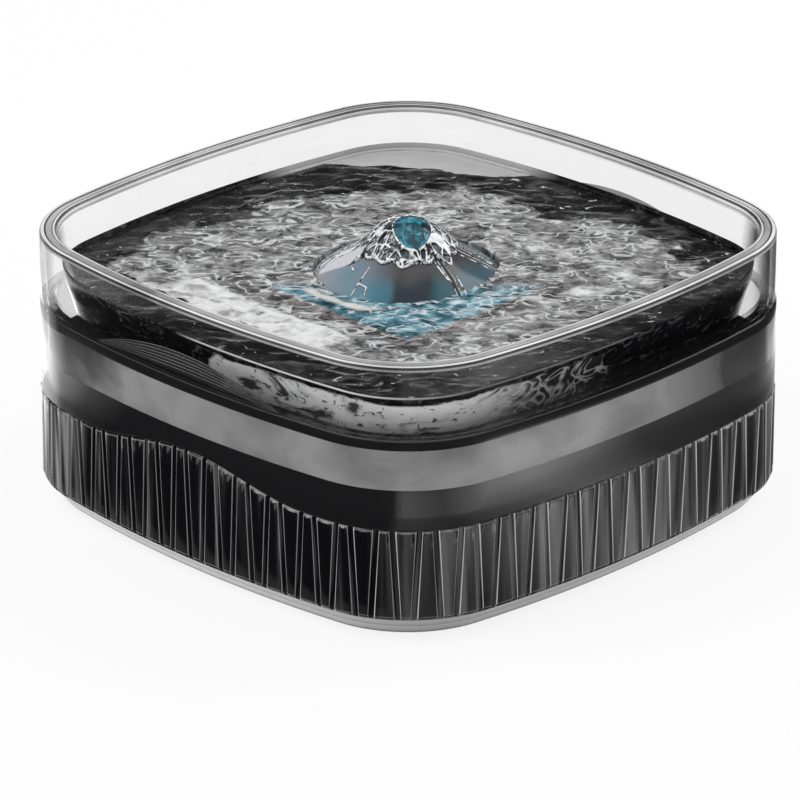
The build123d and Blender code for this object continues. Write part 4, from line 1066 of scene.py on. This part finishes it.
print("film reaches", round(float(film_edge.max()), 1), "mm from the middle")

# %% [markdown]
# The thick ridges of the web carry painted reflections, black and white like little mirrors, with
# painted dark outlines, and the thickest threads are painted near black. The thin film between them is
# drawn in the colours that show through it, the smooth side gets a painted pale sheen, and over the
# blue cap the water takes the cap's own colour. Four values kept on the mesh say how wet, pale,
# capped or thick each point is.

# %% film finish
film_water = new_material("running water", (0.95, 0.97, 0.98), 0.05, IOR=1.4, Specular_IOR_Level=0.5)
dome_water = make_piece("dome_water", points, faces, film_water, sharp=80)
underside = np.zeros(film_columns * len(bottom_rings) + 2)
for name, levels in (("wet", wet), ("pale", pale), ("capped", capped), ("core", core)):
    keep_value(dome_water, name, np.concatenate([*levels, underside]))
# painted reflections on the ridges, black and white like a mirror
mirror_glints = ramp(grain(film_water, 300, 1.5, distortion=1.5), (0.36, (0.015, 0.017)), (0.42, (0.25, 0.26)),
              (0.49, (0.8, 0.81, 0.82)), (0.7, 0.95))
cap_tone = ramp(grain(film_water, 300, 2.0, distortion=0.4), (0.4, (0.006, 0.06, 0.09)),
                (0.5, (0.015, 0.15, 0.21)), (0.62, (0.06, 0.3, 0.4)))
between = ramp(grain(film_water, 260, 2.0), (0.4, (0.01, 0.014, 0.018)), (0.52, (0.03, 0.06, 0.08)),
               (0.6, (0.12, 0.15, 0.17)), (0.68, (0.5, 0.52, 0.54)))
colour = blend(mesh_value(film_water, "capped"), between, cap_tone)
colour = blend(mesh_value(film_water, "pale"), colour, (0.62, 0.63, 0.67))
# painted dark outlines on the ridges' edges, painted reflections on their tops, thick threads painted near
# black
for name, start, end, tone in (("wet", 0.12, 0.3, (0.015, 0.018, 0.02)), ("wet", 0.66, 0.8, mirror_glints),
                               ("core", 0.8, 0.88, (0.012, 0.013, 0.015))):
    colour = blend(rise(mesh_value(film_water, name), start, end), colour, tone)
wear(film_water, Base_Color=colour)
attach(dome_water, "dome")

# %% [markdown]
# ## The lit deck and the rest
# The remaining pieces keep their CAD shapes and get the finish of their kind. Each one still gets a
# little variation, because a part is judged up close too, and with the tray lifted off.

# %% deck and pan
# painted light: the deck glows, as an emission, with the light of the lamps under it
deck_glow = new_material("lit deck", (0.05, 0.25, 0.33), 0.3, Emission_Strength=0.25)
fine = diagonal_grain(deck_glow, 190, 4.0, 0.6, 1.25, 0.8)
# painted light: caustics of the rippled water show on the deck as pale lines
caustic_lines = curls(diagonal_grain(deck_glow, 120, 2.0, 0.6, 1.2, 1.5, 0.4), 0.016)
teal = ramp(fine, (0.36, (0.025, 0.11, 0.15)), (0.48, (0.06, 0.24, 0.32)), (0.6, (0.16, 0.42, 0.52)),
            (0.72, (0.5, 0.74, 0.8)))
teal = blend(caustic_lines * 0.6, teal, (0.75, 0.88, 0.92))
wear(deck_glow, Base_Color=teal, Emission_Color=teal)
relief(deck_glow, fine, 0.2, 0.0003)

pan_plastic = new_material("pale pan", (0.6, 0.61), 0.25, skin=(240, 3.0, 0.08, 0.0002))
across, _, height = plan_place(pan_plastic)
# tone bands by height: dark at the foot as painted shade, a dark line and a lighter top; the pan is painted
# darker toward the right as shade
pan_bands_and_light = ramp(rise(height, 0.001, 0.0075), (0.0, 0.06), (0.1, 0.3), (0.2, (0.6, 0.61)), (0.5, (0.66, 0.67)),
                (0.58, 0.3), (0.66, 0.5), (1.0, 0.62))
wear(pan_plastic, Base_Color=blend(remap(across, 0.0, 0.55, -0.08, 0.02), pan_bands_and_light, 0.12))
dress(deck_glow, "filter_deck")
dress(pan_plastic, "base_pan")
print("deck and pan finished")

# %% remaining finishes
def plain_finish(name, colour, roughness, scale, spread, **sockets):
    """A finish whose colour drifts a little, for small mouldings and boards."""
    material = new_material(name, colour, roughness, skin=(scale * 6, 3.0, 0.08, 0.0002), **sockets)
    levels = colour_of(colour)[:3]
    darker = tuple(level * (1 - spread) for level in levels)
    lighter = tuple(min(1, level * (1 + spread)) for level in levels)
    wear(material, Base_Color=ramp(grain(material, scale), (0.35, darker), (0.65, lighter)))
    return material


metal = {"Metallic": 1.0}
# name, colour, roughness, scale of its grain, how far the colour drifts, more sockets, who wears it
finish_table = [
    ("white moulding", (0.72, 0.71), 0.4, 60, 0.05, {}, "filter_frame impeller"),
    ("pump body", (0.05, 0.055), 0.35, 80, 0.25, {},
     "pump_plate pump_housing volute_cover riser_tube inlet_cover base_cover"),
    ("rubber foot", 0.02, 0.75, 200, 0.25, {}, "rubber_feet suction_cups shaft_bushes"),
    ("silicone seal", 0.6, 0.5, 200, 0.1, {}, "pump_gasket riser_seal"),
    ("copper wire", (0.72, 0.3, 0.12), 0.3, 500, 0.3, metal,
     "drive_coil coil_leads receiver_coil stator_windings"),
    ("ferrite", (0.03, 0.032), 0.6, 300, 0.25, {}, "coil_ferrite"),
    ("magnet", (0.3, 0.31), 0.3, 200, 0.15, metal, "rotor_magnet"),
    ("circuit board", (0.01, 0.12, 0.05), 0.4, 200, 0.25, {}, "drive_board receiver_board led_board"),
    ("components", (0.02, 0.022), 0.4, 300, 0.25, {}, "board_parts"),
    ("steel", 0.6, 0.25, 300, 0.1, metal, "base_screws pump_screws usb_c_socket stator_core"),
    ("ceramic", (0.8, 0.78, 0.74), 0.2, 300, 0.05, {}, "pump_shaft"),
    ("lamp", (0.75, 0.8, 0.7), 0.3, 400, 0.1, {}, "led_chips"),
    ("frosted lens", (0.7, 0.74, 0.76), 0.45, 200, 0.05, {"Transmission_Weight": 0.6}, "led_lens"),
    ("sponge", (0.05, 0.07, 0.09), 0.95, 500, 0.6, {}, "inlet_sponge"),
    ("carbon", 0.012, 0.8, 700, 0.9, {}, "carbon_bed"),
    ("resin beads", (0.6, 0.38, 0.12), 0.4, 700, 0.4, {}, "resin_bed"),
    ("cotton pad", (0.8, 0.78), 0.95, 400, 0.1, {}, "cotton_pad"),
]
for name, colour, roughness, scale, spread, sockets, wearers in finish_table:
    dress(plain_finish(name, colour, roughness, scale, spread, **sockets), *wearers.split())
print(len(finish_table), "plain finishes made")

# %% [markdown]
# ## Studio
# A plain pale floor under a soft white sky. The camera should see a white background, so the floor
# and the sky show white to it, while the light on the object stays at a level where colours come out
# as they were written. Glossy plastic needs something dark to mirror: for rays that come off a gloss
# or through a wall the floor stays white, but the sky is dark between a low backdrop and a soft box.

# %% studio helpers
def bare(owner):
    """Empty the node tree of a material or a world, to build a shader of its own."""
    owner.use_nodes = True
    owner.node_tree.nodes.clear()
    return owner


def ray(owner, kind):
    """1 for rays of one kind, 0 for others."""
    return Value(add_node(owner, "ShaderNodeLightPath").outputs[kind])


# %% floor
FLOOR_REACH = 3
corners = [(-1, -1), (1, -1), (1, 1), (-1, 1)]
floor_mesh = bpy.data.meshes.new("floor")
floor_mesh.from_pydata([(x * FLOOR_REACH, y * FLOOR_REACH, 0) for x, y in corners], [], [(0, 1, 2, 3)])
floor = put_in_scene("floor", floor_mesh)
floor_finish = bare(bpy.data.materials.new("pale floor"))
matt = add_node(floor_finish, "ShaderNodeBsdfDiffuse", Color=(0.86, 0.86, 0.86, 1))
glow = add_node(floor_finish, "ShaderNodeEmission")
mix = add_node(floor_finish, "ShaderNodeMixShader")
out = add_node(floor_finish, "ShaderNodeOutputMaterial")
seen = ray(floor_finish, "Is Camera Ray").at_least(ray(floor_finish, "Is Transmission Ray"))
seen = seen.at_least(ray(floor_finish, "Is Glossy Ray"))
feed(mix.inputs["Fac"], seen * 0.85)
join(matt.outputs[0], mix.inputs[1])
join(glow.outputs[0], mix.inputs[2])
join(mix.outputs[0], out.inputs["Surface"])
floor_mesh.materials.append(floor_finish)

# %% world
world = bare(bpy.data.worlds.new("studio"))
bpy.context.scene.world = world
background = add_node(world, "ShaderNodeBackground")
out = add_node(world, "ShaderNodeOutputWorld")
join(background.outputs[0], out.inputs["Surface"])
direction = add_node(world, "ShaderNodeTexCoord")
split = add_node(world, "ShaderNodeSeparateXYZ")
join(direction.outputs["Generated"], split.inputs[0])
sky = ramp(Value(split.outputs["Z"]), (0.0, 1.0), (0.14, 1.0), (0.24, 0.3), (0.34, 0.05),
           (0.66, 0.05), (0.76, 1.0), (1.0, 1.3))
shaped = ray(world, "Is Glossy Ray").at_least(ray(world, "Is Transmission Ray"))
plain = blend(ray(world, "Is Camera Ray"), 0.78, 1.0)
feed(background.inputs["Color"], blend(shaped, plain, sky))
print("floor and sky set")

# %% [markdown]
# ## Reflector on the floor
# Upright glossy walls seen from above mirror the floor a hand's width away. A photographer shapes
# that with cards: black ones keep a face deep, pale ones put a soft sheen on it. Here one ring lies
# round the object, and a list of bearings says how bright it is, so every face gets its own sheen.
# Only reflections see it, so it neither lights the object nor shows in the picture.

# %% reflector
# how bright the ring is by bearing
card_bearing = [-180, -165, -150, -141, -134, -126, -95, -60, -52, -47, -40, -28, -10, 6, 16, 26, 44, 62,
                85, 110, 140, 165, 180]
card_level = [5.0, 4.5, 3.6, 2.2, 0.5, 0.03, 0.03, 0.03, 0.08, 1.1, 0.9, 0.55, 1.4, 2.8, 1.8, 0.5, 0.25,
              0.6, 1.6, 1.2, 1.5, 3.0, 5.0]
# how far each ring lies from the object, its share of that brightness and the least it has
card_rings = [(1.0, 0.3, 0.25), (17.0, 0.3, 0.12), (19.0, 0.3, 0.02), (45.0, 0.34, 0.015), (85.0, 0.5, 0.015),
              (95.0, 0.9, 0.02), (118.0, 1.0, 0.02), (128.0, 0.5, 0.04), (150.0, 0.08, 0.03),
              (260.0, 0.05, 0.03), (420.0, 0.05, 0.03)]
ABOVE_FLOOR = 0.3
card_reach, card_share, card_least = np.array(card_rings).T
card_grid = outline_angles((40,), 80)
points, faces = stitch([outline_ring(card_grid, -reach, ABOVE_FLOOR) for reach in card_reach], loop=False)
card_finish = bare(bpy.data.materials.new("floor reflector"))
card = make_piece("floor_reflector", points, faces, card_finish)
by_bearing = np.interp(np.degrees(bearing_of(points)), card_bearing, card_level).reshape(len(card_rings), -1)
keep_value(card, "glow", np.maximum(by_bearing * card_share[:, None], card_least[:, None]).ravel())
glow = add_node(card_finish, "ShaderNodeEmission")
out = add_node(card_finish, "ShaderNodeOutputMaterial")
feed(glow.inputs["Strength"], mesh_value(card_finish, "glow"))
join(glow.outputs[0], out.inputs["Surface"])
card.visible_camera = card.visible_diffuse = card.visible_transmission = card.visible_shadow = False

# %% lamps
LAMP_AIM = Vector((0, 0, 0.05))


def soft_lamp(name, place, size, power):
    lamp = bpy.data.lights.new(name, "AREA")
    lamp.shape = "SQUARE"
    lamp.size = size
    lamp.energy = power
    stand = put_in_scene(name, lamp)
    stand.location = place
    stand.rotation_euler = (LAMP_AIM - Vector(place)).to_track_quat("-Z", "Y").to_euler()


soft_lamp("key light", (-0.6, -0.9, 1.3), 0.9, 8)
soft_lamp("back light", (0.3, 1.1, 0.9), 0.8, 6)
print("lamps set")

# %% finish
scene = bpy.context.scene
scene.view_settings.view_transform = "Standard"
bpy.context.view_layer.update()
